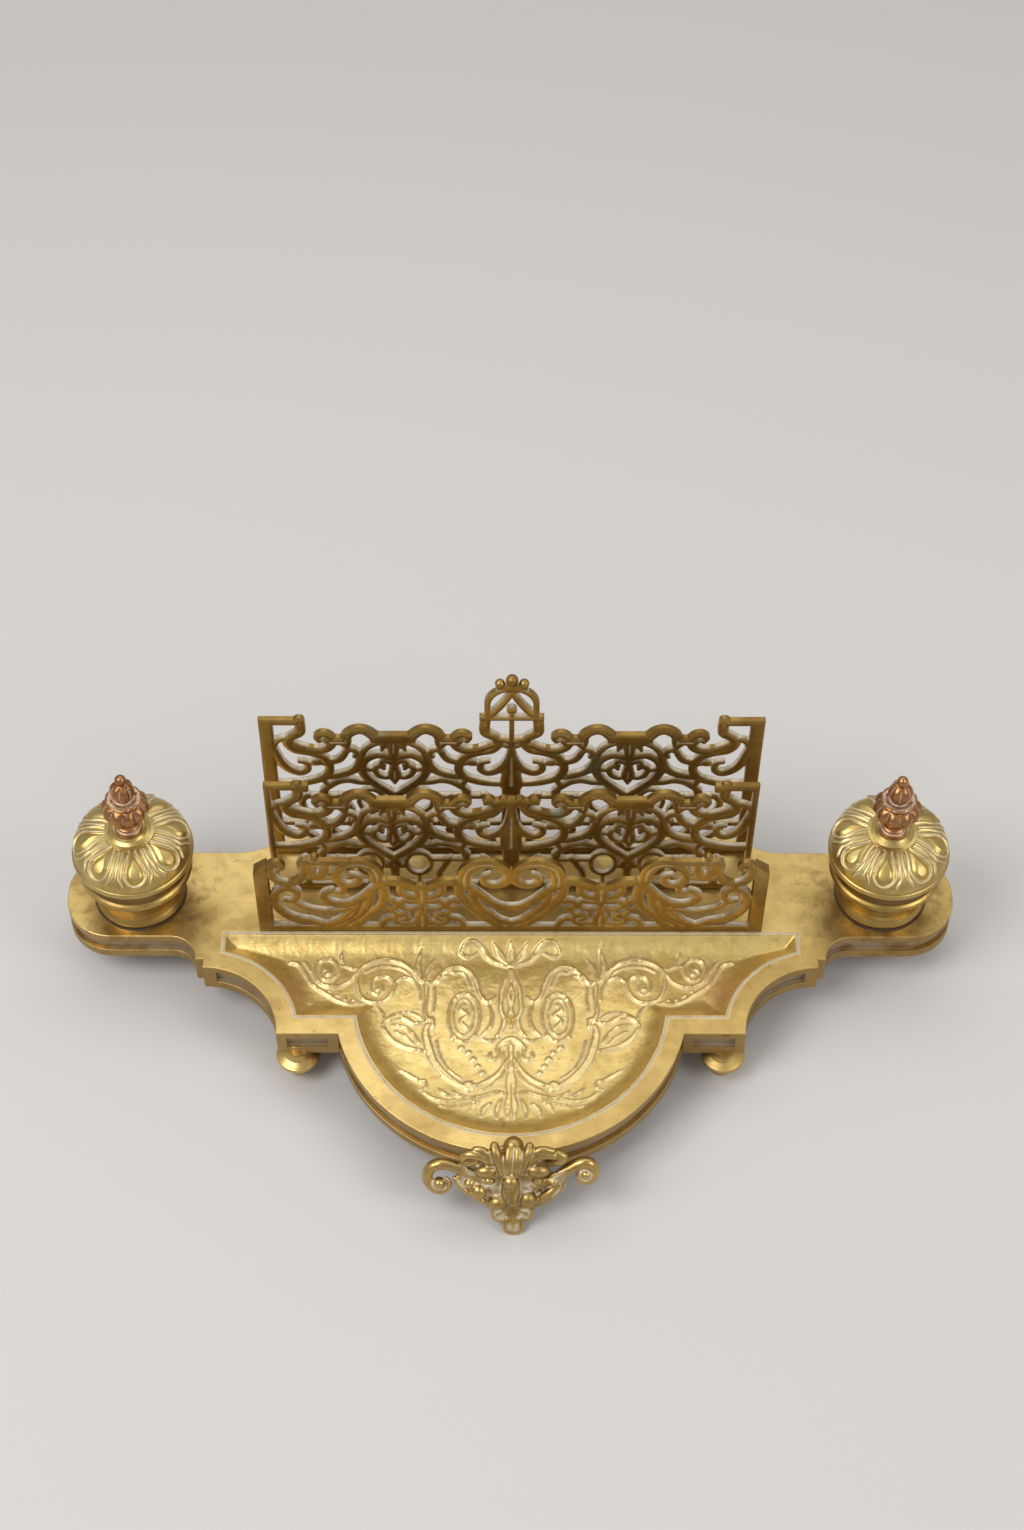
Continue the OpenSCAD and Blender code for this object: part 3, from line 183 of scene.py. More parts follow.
galleryStrokes = [smoothPath(s) for s in [
    [[106.6, 47.8, 2], [104.6, 50, 2.4], [106.4, 52.8, 2.8], [109.6, 51.4, 3], [110, 45, 3], [107.5, 39.5, 3],
     [102.5, 37.2, 3], [97.5, 39.5, 3], [95, 45, 3], [94.6, 50, 2.8], [94.2, 54, 2.6]],
    [[95, 53.6, 2.6], [86, 53.6, 2.6], [76, 53.4, 2.8]],
    [[61.5, 40, 4.6], [61.8, 45, 4.8], [64, 50, 4.8], [69, 53, 4.4], [74.5, 52, 4], [79.2, 48, 3.6], [80.4, 42, 3.2],
     [78, 37.4, 3], [73.6, 36, 2.8], [70, 38.6, 2.6], [70.2, 42.6, 2.4], [73.4, 43.8, 2]],
    [[80.2, 41, 2.8], [78.4, 37, 2.6], [77, 33.6, 2.4], [78, 30.6, 2.2], [81, 30.4, 1.8]],
    [[82.6, 31.8, 2.2], [85.6, 30, 2.6], [86.6, 26.4, 3], [84.4, 22.6, 3.2], [79, 20.4, 3.4], [73.5, 22, 3.4],
     [68, 27, 3.4], [63, 33.5, 3.6], [58.5, 37.6, 3.6], [53, 38.2, 3.6], [47.5, 35.4, 3.6], [44.5, 33.4, 3.6],
     [41.5, 32.8, 3.6], [38.5, 33.4, 3.6], [35.5, 35.4, 3.6], [30, 38.2, 3.6], [24.5, 37.8, 3.6], [19.5, 34.5, 3.4],
     [14.5, 28.6, 3.4], [9, 22, 3.4], [4, 18.6, 3.4], [-1, 17.6, 3.4]],
    [[104.6, 24, 2], [101.6, 23.4, 2.2], [98.8, 26.4, 2.6], [99, 31, 3], [103, 33.6, 3], [107.6, 31.2, 3],
     [109.6, 25.5, 3], [108.6, 18.4, 3.2], [104.6, 12, 3.6], [99, 8, 4], [92.5, 6.6, 3], [87, 4, 2]],
    [[100.6, 23, 2], [96, 18.4, 2], [90, 15.8, 1.8], [83, 15, 1.8], [75, 17.5, 2]],
    [[86, 3.5, 2.6], [79, 8, 3.4], [74, 14, 4.2], [70.6, 21, 2.6], [69.6, 26, 1.8]],
    [[64.5, 32.5, 2.8], [65, 26, 3.2], [67, 19, 3.2], [71, 12, 3], [75.6, 7, 2.2], [79, 3.5, 2.4]],
    [[60, 37, 3], [58.4, 31, 3.6], [59, 24, 3.6], [62, 17.4, 3.6], [66.6, 11.4, 3.4], [73, 3.5, 3.4]],
    [[21.5, 36, 4.6], [21.6, 43, 5], [19.5, 49, 5], [14.5, 52.4, 4.6], [8.5, 52.4, 4.2], [3.8, 49, 3.8],
     [1.4, 43.6, 3.6], [3, 38, 3.4], [7.6, 35.6, 3], [12, 37.6, 2.6], [12.6, 42, 2.4], [9.8, 44.4, 1.8]],
    [[24.6, 37, 3.2], [23.6, 30, 3.8], [21, 23, 3.8], [17, 16, 3.4], [12, 9.5, 3], [5, 3.5, 3]],
    [[17.5, 32, 2.6], [17, 25, 3], [13.5, 17.5, 3], [9.5, 12.6, 3], [5.4, 8, 2.6], [-1, 4.6, 2.6]],
    [[51, 36, 2.6], [51, 31, 2.8], [48.6, 27.6, 2.6], [44.4, 26, 2.6], [41, 26, 2.6]],
    [[41.5, 24, 2.6], [45, 22.6, 2], [49.6, 23.6, 2.2], [51.6, 20, 2.2], [48.4, 17, 2], [43, 17.4, 2]],
    [[32, 36, 2.6], [32, 31, 2.8], [34.4, 27.6, 2.6], [38.6, 26, 2.6], [42, 26, 2.6]],
    [[41.5, 24, 2.6], [38, 22.6, 2], [33.4, 23.6, 2.2], [31.4, 20, 2.2], [34.6, 17, 2], [40, 17.4, 2]],
    [[41.5, 33, 4.6], [41.5, 27, 5], [41.5, 20, 2.2], [41.5, 15, 2.6], [41.5, 10, 5.4], [41.5, 3.5, 4.4]],
    [[58.6, 22.6, 2.2], [55.6, 24, 2.4], [53, 21, 2.4], [55, 17.6, 2.2], [58, 19, 1.8]],
    [[24.4, 22.6, 2.2], [27.4, 24, 2.4], [30, 21, 2.4], [28, 17.6, 2.2], [25, 19, 1.8]],
    [[50.4, 8.4, 2.2], [48.2, 10.4, 2.2], [50, 13, 2.2], [53.4, 11.4, 2.2], [53.6, 7.6, 2.2], [50.5, 5, 2.2],
     [46.4, 5.8, 2.2], [41.5, 5, 2.2]],
    [[32.6, 8.4, 2.2], [34.8, 10.4, 2.2], [33, 13, 2.2], [29.6, 11.4, 2.2], [29.4, 7.6, 2.2], [32.5, 5, 2.2],
     [36.6, 5.8, 2.2], [41.5, 5, 2.2]],
    [[54, 9.5, 2], [58.6, 8.6, 2.2], [61, 3.5, 2.2]],
    [[29, 9.5, 2], [24.4, 8.6, 2.2], [22, 3.5, 2.2]],
    [[56, 17.5, 2], [52.8, 12.4, 2]],
    [[27, 17.5, 2], [30.2, 12.4, 2]],
    [[92.4, 53.5, 2.2], [91.8, 47, 3.4], [88.5, 42.4, 3.2], [85.2, 47, 3.4], [84.6, 53.5, 2.2]],
    [[95.5, 42.4, 2], [88.5, 41.4, 2.4], [80.4, 42.4, 2]],
    [[103, 34, 2.4], [102.5, 36.8, 2.4]],
    [[108.6, 26, 2.6], [112.5, 26, 2.6]],
    [[109.6, 43, 2.6], [112.5, 43, 2.6]],
]]


def bayPath(points, k=1.0):
    return smoothPath([[x * k, z, w] for x, z, w in points])


def drawBay(drawing, spots, reach, height, footDepth):
    k = reach / 108
    local = np.stack([np.abs(spots[:, 0] - reach / 2), spots[:, 1] - height], 1)
    for path in bayStrokes:
        drawing.stroke(local, path * [k, 1, 1])
    drawing.bar(local, -1, -16, 10.4, -10.5)
    drawing.bar(local, -1, -64, 5, -60.4)
    drawing.bar(local, -1, -footDepth, 2.2, -63)
    drawing.ring(local, 11.4, -60.6, 5.9, 8.5, 2.2)
    drawing.bar(local, 17, -58.6, 42, -56)
    drawing.bar(local, 10.3, -footDepth, 12.5, -68.4)
    for points in [[[26, -57, 2.4], [22.6, -64, 2.4], [20.5, -70, 2.4], [22, -footDepth - 0.5, 2.4]],
                   [[32.5, -53, 2.4], [34, -57, 2.4]],
                   [[41, -56.5, 2.4], [44, -61, 2.6], [43, -68, 2.4], [40, -footDepth - 0.5, 2.4]]]:
        drawing.stroke(local, bayPath(points, k))


def drawFrame(drawing, spots, half, strip, height, rail=4.0):
    drawing.bar(spots, half - strip, 0, half, height)
    drawing.bar(spots, half - 20.5, height - 3.6, half, height)
    drawing.bar(spots, half - 20.5, height - 4.6, half - 16.7, height)
    drawing.bar(spots, -5, 0, half, rail)


def backDrawing(x, z):
    drawing, spots = Drawing(len(x), panelLook["weight"]), np.stack([np.abs(x), z], 1)
    half, strip, height = 114.5, 6.5, 101.0
    drawFrame(drawing, spots, half, strip, height)
    drawBay(drawing, spots, half - strip, height, 78.5)
    local = np.stack([spots[:, 0] - 54, spots[:, 1] - height], 1)
    for u in (-42, -28, -14, 0, 14, 28, 42):
        drawing.stroke(local, smoothPath([[u, -78, 2.4], [u + 3.4, -83.3, 2.6], [u, -87.5, 2.4], [u - 3.4, -91.7, 2.6],
                                          [u, -97.5, 2.4]]))
    drawing.bar(spots, -5, height - 79.6, half, height - 76.6)
    crest = np.stack([spots[:, 0], spots[:, 1] - height], 1)
    drawing.bar(crest, -5, 0, 14.6, 2.6)
    turn = np.radians(np.linspace(0, 180, 19))
    arch = [[11, 0.5, 2.8]] + [[11 * math.cos(a), 10.8 + 11 * math.sin(a), 2.8] for a in turn]
    drawing.stroke(crest, np.array(arch), 1.0, 1.0)
    drawing.stroke(crest, smoothPath([[9.8, 3, 2.6], [5.6, 9, 2.6], [2.2, 15, 2.4], [-0.5, 21.4, 2.4]]))
    drawing.bar(crest, -5, 2, 1.1, 8)
    drawing.dot(crest, 0, 7, 2.4)
    drawing.bar(crest, -5, 22, 7, 24.4)
    drawing.bar(crest, -5, -23, 1.2, 1)
    drawing.dot(crest, 2.2, -18.6, 1.9)
    drawing.stroke(crest, smoothPath([[0, -22, 3], [0, -32, 4.6], [0, -41, 7], [0, -48, 8.4]]))
    drawing.bar(crest, -5, -79, 4.4, -47)
    return drawing


def middleDrawing(x, z):
    drawing, spots = Drawing(len(x), panelLook["weight"]), np.stack([np.abs(x), z], 1)
    half, strip, height = 112.5, 3.0, 80.0
    cap = height - 11
    drawBay(drawing, spots, half - strip, height, 76.5)
    above = np.minimum(17.5 - spots[:, 0], spots[:, 1] - cap)
    drawing.depth = np.minimum(drawing.depth, -above)
    drawFrame(drawing, spots, half, strip, height)
    drawing.bar(spots, -5, cap - 3.4, 13, cap)
    drawing.dot(spots, 10.4, cap - 0.6, 2.6)
    drawing.dot(spots, 3.6, cap - 0.6, 2.2)
    drawing.stroke(spots, smoothPath([[0, cap - 1, 3], [0, cap - 12, 4], [0, cap - 24, 7], [0, cap - 36, 8]]))
    drawing.bar(spots, -5, 3.5, 4, cap - 34)
    return drawing


def galleryDrawing(x, z):
    drawing, spots = Drawing(len(x), panelLook["weight"]), np.stack([np.abs(x), z], 1)
    for path in galleryStrokes:
        drawing.stroke(spots, path)
    drawing.dot(spots, 89.5, 57, 2)
    drawing.bar(spots, 88.8, 54, 90.2, 56)
    drawing.bar(spots, -5, 0, 117, 4)
    return drawing


# weight: how bold the strokes are; step: spacing of the cast surface's points; edge: width of the rounded front
# edge, and round: what the scrolls add to it; drop: how far it falls back; vein: depth of the line cut along the
# widest leaves; green: spots of verdigris as [panel, x, z, rx, rz]
panelLook = {"weight": 1.3, "step": 0.6, "edge": 0.5, "round": 1.0, "drop": 0.6, "vein": 0.4,
             "green": [["back", 39, 62, 6, 16], ["middle", 21.5, 58.5, 4, 3], ["back", -62, 92, 5, 4]]}


def ontoEdge(co, i, drawFunction):
    # Moves points [x, y, z] onto the drawn edge, where the depth is nought
    depth = drawFunction(co[i, 0], co[i, 2]).depth
    e = 0.08
    gx = (drawFunction(co[i, 0] + e, co[i, 2]).depth - drawFunction(co[i, 0] - e, co[i, 2]).depth) / (2 * e)
    gz = (drawFunction(co[i, 0], co[i, 2] + e).depth - drawFunction(co[i, 0], co[i, 2] - e).depth) / (2 * e)
    size = np.maximum(np.hypot(gx, gz), 0.35) ** 2
    co[i, 0] -= depth * gx / size
    co[i, 2] -= depth * gz / size


def settleRim(bm, drawFunction):
    # Spaces the outline's points evenly along the drawn edge, so that the walls come out smooth
    bmesh.ops.remove_doubles(bm, verts=[v for v in bm.verts if v.is_boundary], dist=panelLook["step"] * 0.4)
    for again in range(3):
        rim = [v for v in bm.verts if v.is_boundary]
        co = []
        for v in rim:
            near = [e.other_vert(v).co for e in v.link_edges if e.is_boundary]
            co.append(v.co * 0.5 + (near[0] + near[1]) * 0.25 if len(near) == 2 else v.co.copy())
        co = np.array([c[:] for c in co])
        ontoEdge(co, np.arange(len(co)), drawFunction)
        for v, c in zip(rim, co):
            v.co = c


def castPanel(label, drawFunction, halfWidth, top, frontY, thick):
    look = panelLook
    step = look["step"]
    bm = bmesh.new()
    bmesh.ops.create_grid(bm, x_segments=round(2 * halfWidth / step) + 4, y_segments=round(top / step) + 4, size=1)
    co = getCoords(bm)
    co[:, 0] *= halfWidth + 2 * step
    co[:, 2] = (co[:, 1] + 1) / 2 * (top + 4 * step) - 2 * step
    co[:, 1] = 0
    drawing = drawFunction(co[:, 0], co[:, 2])
    setCoords(bm, co)
    verts = list(bm.verts)
    bmesh.ops.delete(bm, geom=[verts[i] for i in np.where(drawing.depth < -0.7 * step)[0]], context="VERTS")
    co = getCoords(bm)
    depth = drawFunction(co[:, 0], co[:, 2]).depth
    outside = set(np.where(depth < 0)[0])
    bm.verts.index_update()
    bmesh.ops.delete(bm, geom=[f for f in bm.faces if all(v.index in outside for v in f.verts)], context="FACES")
    bmesh.ops.delete(bm, geom=[v for v in bm.verts if not v.link_faces], context="VERTS")
    co = getCoords(bm)
    for again in range(3):
        ontoEdge(co, np.where(drawFunction(co[:, 0], co[:, 2]).depth < 0)[0], drawFunction)
    setCoords(bm, co)
    settleRim(bm, drawFunction)
    co = getCoords(bm)
    drawing = drawFunction(co[:, 0], co[:, 2])
    soft = ease(0, look["edge"], drawing.depth)
    crown = ease(0, look["edge"] + look["round"] * (1 - drawing.plain), drawing.depth)
    vein = ease(0.8, 0.95, drawing.share) * ease(2.2, 2.6, drawing.depth) * (1 - drawing.plain)
    co[:, 1] = frontY + look["drop"] * (1 - crown) + look["vein"] * vein
    setCoords(bm, co)
    # The pale bloom lies on the inner walls; the panel's outer contour stays rubbed bright
    column = np.round((co[:, 0] + halfWidth + 3) / step).astype(int)
    highest = np.zeros(column.max() + 1)
    np.maximum.at(highest, column, co[:, 2])
    inner = co[:, 2] < highest[column] - 2
    setMask(bm, "recess", np.clip((1 - soft) * 0.35 * inner + 0.6 * vein, 0, 1))
    green = np.zeros(len(co))
    for where, gx, gz, rx, rz in look["green"]:
        if where == label:
            green = np.maximum(green, np.exp(-((co[:, 0] - gx) / rx) ** 2 - ((co[:, 2] - gz) / rz) ** 2))
    setMask(bm, "green", green)
    bm.verts.index_update()
    innerAt = dict(zip([tuple(np.round(c, 3)) for c in co[:, [0, 2]]], inner))
    for edge in bm.edges:
        edge.smooth = not edge.is_boundary
    # The walls come first, then a shallow step to the back, which stays bare metal
    layer = bm.verts.layers.float["recess"]
    made = bmesh.ops.extrude_face_region(bm, geom=bm.faces[:], use_keep_orig=True)["geom"]
    walls = [g for g in made if isinstance(g, bmesh.types.BMVert)]
    for v in walls:
        v.co.y = frontY + thick - 0.5
        v[layer] = 1.0 if innerAt.get((round(v.co.x, 3), round(v.co.z, 3)), True) else 0.0
    inside = [g for g in made if isinstance(g, bmesh.types.BMFace)]
    made = bmesh.ops.extrude_face_region(bm, geom=inside)["geom"]
    bmesh.ops.delete(bm, geom=inside, context="FACES")
    backs = {g for g in made if isinstance(g, bmesh.types.BMFace)}
    for v in [g for g in made if isinstance(g, bmesh.types.BMVert)]:
        v.co.y = frontY + thick
        v[layer] = 0.0
    for edge in bm.edges:
        if sum(face in backs for face in edge.link_faces) == 1:
            edge.smooth = False
    return bm


def addBlock(bm, x0, y0, z0, x1, y1, z1, rounding=0.4, lift=0.0):
    made = bmesh.ops.create_cube(bm, size=1)["verts"]
    for v in made:
        outer = v.co.x > 0
        v.co = Vector((x1 if v.co.x > 0 else x0, y1 if v.co.y > 0 else y0, z1 if v.co.z > 0 else z0))
        if lift and not outer and v.co.z == z1:
            v.co.z += lift
    edges = {e for v in made for e in v.link_edges}
    bmesh.ops.bevel(bm, geom=list(edges), affect="EDGES", offset=rounding, segments=2, profile=0.5, material=-1)


def mirrorPiece(bm):
    made = bmesh.ops.duplicate(bm, geom=bm.verts[:] + bm.edges[:] + bm.faces[:])["geom"]
    verts = [g for g in made if isinstance(g, bmesh.types.BMVert)]
    bmesh.ops.scale(bm, vec=(-1, 1, 1), verts=verts)
    bmesh.ops.reverse_faces(bm, faces=[g for g in made if isinstance(g, bmesh.types.BMFace)])


def joinInto(bm, other):
    mesh = bpy.data.meshes.new("joining")
    bmesh.ops.recalc_face_normals(other, faces=other.faces[:])
    other.to_mesh(mesh)
    other.free()
    bm.from_mesh(mesh)
    bpy.data.meshes.remove(mesh)


def addBall(bm, x, y, z, r, parts=3):
    bmesh.ops.create_icosphere(bm, subdivisions=parts, radius=r, matrix=Matrix.Translation((x, y, z)))


rackLook = {"backY": 0.0, "middleY": -21.0, "galleryY": -45.3, "thick": 3.0}

backBm = castPanel("back", backDrawing, 114.5, 125.6, rackLook["backY"], rackLook["thick"])
for bx, bz, br in ((0, 128.4, 2.8), (5.4, 126.1, 2.3), (-5.4, 126.1, 2.3)):
    addBall(backBm, bx, 1.5, bz, br)
backPanel = placePiece(backBm, "back_panel_cast", stand, ["back_panel"])
middlePanel = placePiece(castPanel("middle", middleDrawing, 112.5, 80, rackLook["middleY"], rackLook["thick"]),
                         "middle_panel_cast", stand, ["middle_panel"])
galleryBm = castPanel("gallery", galleryDrawing, 117.2, 60, rackLook["galleryY"], rackLook["thick"])
postBm = bmesh.new()
addBlock(postBm, 111.5, -45.42, -0.5, 118, -39.3, 46, 0.45, 5.2)
mirrorPiece(postBm)
joinInto(galleryBm, postBm)
galleryPanel = placePiece(galleryBm, "front_gallery_cast", stand, ["front_gallery"])
print("panels cast")


# Pen tray: the sunk floor with its low relief, laid over the cast base


def trayInset(x, y):
    # How far a spot lies inside the edge of the tray
    side = np.abs(x)
    scoop = np.hypot(side - 143.6, y + 101.8) - 46.1
    shoulders = np.minimum(np.minimum(scoop, 133.6 - side), y + 91.8)
    bow = 71.7 - np.hypot(x, y + 82)
    return np.minimum(np.maximum(shoulders, bow), -47.6 - y)


trayStrokes = [
    # Outer scroll with its tip, leaves and twigs
    [[103.3, -59.7, 2.6], [99.3, -60.8, 2.4], [95.4, -66.7, 2], [92.3, -71.9, 2], [87.9, -75.6, 2.2], [84.3, -77.7, 2.8],
     [81, -80.3, 2.6], [76.1, -82.6, 2.4], [71.7, -82.6, 2.2], [68, -82.2, 1.6]],
    [[96.8, -59.2, 1.4], [94.8, -61.6, 2], [93.4, -64.6, 1.2]],
    [[70.6, -62.6, 2.4], [73.1, -66.8, 2.4], [76.5, -70.9, 2.4], [82.2, -73.2, 2.4], [88.5, -71.1, 2.4], [91.4, -65.6, 2.4],
     [89.9, -59.4, 2.2], [85.1, -57.5, 2.2], [81.2, -61.3, 2], [81.3, -65.8, 1.8], [83.9, -69.2, 1.8], [87.3, -68.8, 1.8],
     [88.4, -65.4, 1.6], [86.4, -63.2, 1.4]],
    [[78.2, -60.2, 1.4], [79.5, -57.2, 2.6], [79.1, -54.4, 1]],
    [[80.5, -61.2, 1.2], [76.9, -61.5, 1.8], [74.1, -63, 1.8], [70.5, -63.2, 1.4]],
    # Great arc and the inner scroll it curls into
    [[70.5, -62.9, 2], [66.2, -59.8, 2.8], [61.3, -58.4, 3], [55.5, -58.4, 3], [50, -60.2, 3], [45.9, -64, 2.8],
     [41.8, -69.8, 2.4]],
    [[67.8, -65, 1.2], [63.9, -62.6, 1.4], [59, -61.5, 1.4], [53.6, -62.3, 1.4], [49.1, -64.2, 1.4], [46.1, -67.4, 1.2]],
    [[69.2, -61.8, 2.2], [71.5, -66.8, 2.6], [71.5, -73, 2.6], [68.9, -79.1, 2.6], [64.4, -81.6, 2.6], [59.1, -80.9, 2.4],
     [55.2, -76.3, 2.4], [54.2, -71.4, 2.2], [57.7, -67.2, 2.2], [62.4, -67.7, 2], [64.9, -71.1, 1.8], [64.6, -75.3, 1.6],
     [61.9, -77.2, 1.6], [59.5, -75.1, 1.6], [60.5, -72.1, 1.8]],
    [[54.3, -70.8, 1.4], [51.6, -68.3, 2], [48.1, -67.9, 2.4], [44.5, -70.8, 2], [42.1, -75.6, 1.8], [41.6, -80.3, 1.4]],
    # Plume, fan and the stem below them
    [[40.9, -70, 2], [43.7, -63.9, 4.8], [42.1, -53.2, 1]],
    [[40.4, -69.5, 1.6], [39.2, -63.9, 3.2], [35.9, -57.6, 1]],
    [[39.8, -70, 1.8], [36.4, -70.8, 2.4], [33.8, -66.8, 2.8], [29.8, -63.6, 3], [27.2, -64.4, 1.8]],
    [[33.8, -70.8, 1.4], [31.6, -67.1, 1.8], [29.8, -66.8, 1.4]],
    [[39.6, -70.8, 3], [39.4, -79.2, 2.6], [39.9, -86.6, 2.4], [38.6, -90.7, 2.8]],
    [[35.8, -73, 1.2], [35.2, -80, 1.4], [36, -87, 1.2]],
    [[38.7, -91.7, 3], [36.6, -90.9, 3.2], [36, -94.8, 2.2]],
    # Inner scroll over the medallion
    [[33.8, -69.7, 2], [31.6, -64.4, 2.2], [27.6, -62.1, 2.4], [23.2, -61.8, 2.8], [18.7, -65, 3], [15.8, -71.3, 3],
     [14.1, -77.6, 2.6], [10.6, -81.5, 2.4], [7.7, -78.4, 1.6]],
    [[27, -65.5, 1.2], [23, -65, 1.4], [20.4, -68, 1.4], [18.6, -73, 1.2]],
    [[10.2, -83, 1.6], [8.6, -89, 2.2], [9.6, -95, 2.4], [13.4, -99.4, 1.8]],
    [[21.4, -82.4, 2], [23.4, -85.4, 2.6], [20.2, -88.4, 2.6], [23.2, -91.8, 2.6], [20.4, -95.4, 2]],
    # Lower scroll, its leaf and the festoon
    [[38.3, -93.8, 3], [39.3, -97.9, 3.8], [37.8, -106.1, 4.4], [34.9, -113.8, 4.4], [29.1, -121.3, 4.2],
     [22.6, -126.1, 3]],
    [[34.2, -102, 1.2], [32.5, -110.2, 1.4], [28.3, -117.8, 1.4], [22.6, -122.3, 1.2]],
    [[59, -93.8, 2.2], [56.4, -90.5, 2.8], [50.3, -89.5, 3], [44.9, -93, 2.6], [40.5, -92.3, 2]],
    [[58.2, -90.7, 1.2], [52.9, -87.6, 1.6], [45.9, -87.1, 1.6], [41, -90.7, 1.2]],
    [[58.9, -95.4, 2.4], [55.2, -101, 2.8], [49, -105.3, 2.8], [40.2, -107.7, 2.2]],
    [[54.6, -93.8, 1.6], [49.2, -94.9, 2.2], [44.8, -99, 2.2], [42, -103.6, 1.6]],
    [[53, -97.2, 1.4], [48.4, -100.4, 2], [44.5, -104, 1.4]],
    [[62, -84, 1.4], [59.5, -87.5, 2.2], [58.6, -91, 1.4]],
    [[17.4, -126.3, 2], [13, -124.8, 2.8], [7, -120.8, 2.8], [3.1, -115.2, 2.4], [1.3, -111.2, 1.6]],
    [[14, -128.4, 1.4], [8.6, -125.6, 2], [4.6, -121.6, 2], [2.2, -117, 1.4]],
    [[44.7, -121.3, 1.4], [42.5, -123.5, 1.8], [39.5, -123.5, 1.8], [38.6, -126.8, 1.8], [41.1, -128.3, 1.4]],
    [[40, -124.5, 1.4], [45, -121.5, 2.6], [50.5, -118, 1]],
    [[39.8, -129.3, 1.6], [35.4, -132.8, 2.4], [28.5, -134.3, 2.6], [21.6, -132.8, 2.4], [13.9, -131.8, 2.4],
     [7, -129.3, 2.2], [3.1, -130.3, 1.6]],
    [[31.9, -136.8, 1.4], [26.8, -136.8, 2.2], [20.7, -135.8, 2.2], [14.7, -133.8, 1.4]],
    [[33, -127.4, 1.2], [30.6, -130, 2.6], [27, -131.6, 1.4]],
    [[26.5, -128.6, 1.2], [24, -131, 2.4], [20.5, -131.4, 1.2]],
    [[13.4, -142.2, 1], [12.1, -138.2, 3.4], [9.5, -135.3, 2]],
    [[18.8, -139.4, 1], [17.6, -136.8, 2.6], [14.8, -134.4, 1.6]],
    [[6.5, -142.8, 1], [6.4, -138.6, 3], [4.6, -133.4, 1.8]],
    # Middle: palmette, twisted drape and the cap over the husks
    [[23.2, -54.8, 2.4], [21.5, -51, 2.4], [17.9, -49.9, 2.6], [13.4, -52.6, 3.2], [8.8, -59.1, 2.2]],
    [[23.2, -54.8, 2], [20.5, -56.9, 2], [16, -54.8, 1.6]],
    [[0, -62, 2], [0, -56, 5.4], [0, -50, 1.4]],
    [[0.6, -61.5, 1.6], [5, -56, 4.4], [8, -50.6, 1.4]],
    [[0.6, -62, 1.6], [9, -58.4, 3], [14, -54.4, 1]],
    [[0, -63, 2.4], [1.6, -68, 3.4], [3.8, -73.6, 3.2], [4.4, -79.2, 2.8], [4.8, -85.5, 2.8], [3, -90.7, 3],
     [3.9, -95.8, 2.8], [6.4, -99.6, 2]],
    [[0, -72, 2.6], [1.2, -78, 2.8], [0, -84, 3], [1, -90, 2.4], [0, -96, 1.6]],
    [[13.1, -101, 1.6], [9.5, -102.4, 2], [6.1, -101, 2]],
    [[9.4, -108.6, 1.6], [9.8, -111, 2], [7.4, -112.4, 2], [5.4, -110.4, 2], [6.1, -106.4, 2.6], [3.4, -102.6, 3.2],
     [0, -101.4, 3.6]],
    [[0, -105, 3.4], [0.4, -112, 2.4], [0.8, -118, 2.6]],
    [[3.2, -108.5, 1.4], [3.6, -113, 1.6], [2.8, -118, 1.4]],
    [[0, -117, 3], [1, -124, 3.4], [0.9, -131, 2.6], [1.6, -137.2, 4], [1.4, -143, 1.2]],
]
trayDots = [[85.2, -65.8, 1.5], [61.8, -74.2, 1.5], [84.4, -75.4, 1.1], [80.8, -77.8, 1.2], [77, -80, 1.2],
            [73, -80.4, 1.1], [17, -79.4, 1.3], [26, -79.6, 1.3], [16.4, -99.8, 1.3], [26.6, -100.6, 1.4],
            [19.3, -126.5, 3.2], [22.7, -106.1, 1.7], [19.4, -108.6, 1.6], [17.3, -112.2, 1.7], [15.2, -115.8, 1.5],
            [13.1, -119.3, 1.4], [0, -64.4, 2.2]]

# step: spacing of the sheet's points; deep: height of the ornament; puff: how round it is; line: width of the
# pale line round the tray
trayLook = {"step": 0.55, "deep": 1.35, "puff": 1.1, "line": 1.95, "over": 0.14, "bead": 0.55, "beadPitch": 1.2}


def trayDrawing(x, y):
    spots = np.stack([np.abs(x), y], 1)
    drawing = Drawing(len(x))
    for points in trayStrokes:
        drawing.stroke(spots, smoothPath(points, 3))
    drawing.ring(spots, 21.6, -89.5, 7.2, 13.1, 1.9)
    drawing.ring(spots, 21.9, -89.5, 4.7, 9.8, 1.2)
    for spot in trayDots:
        drawing.dot(spots, *spot)
    return drawing


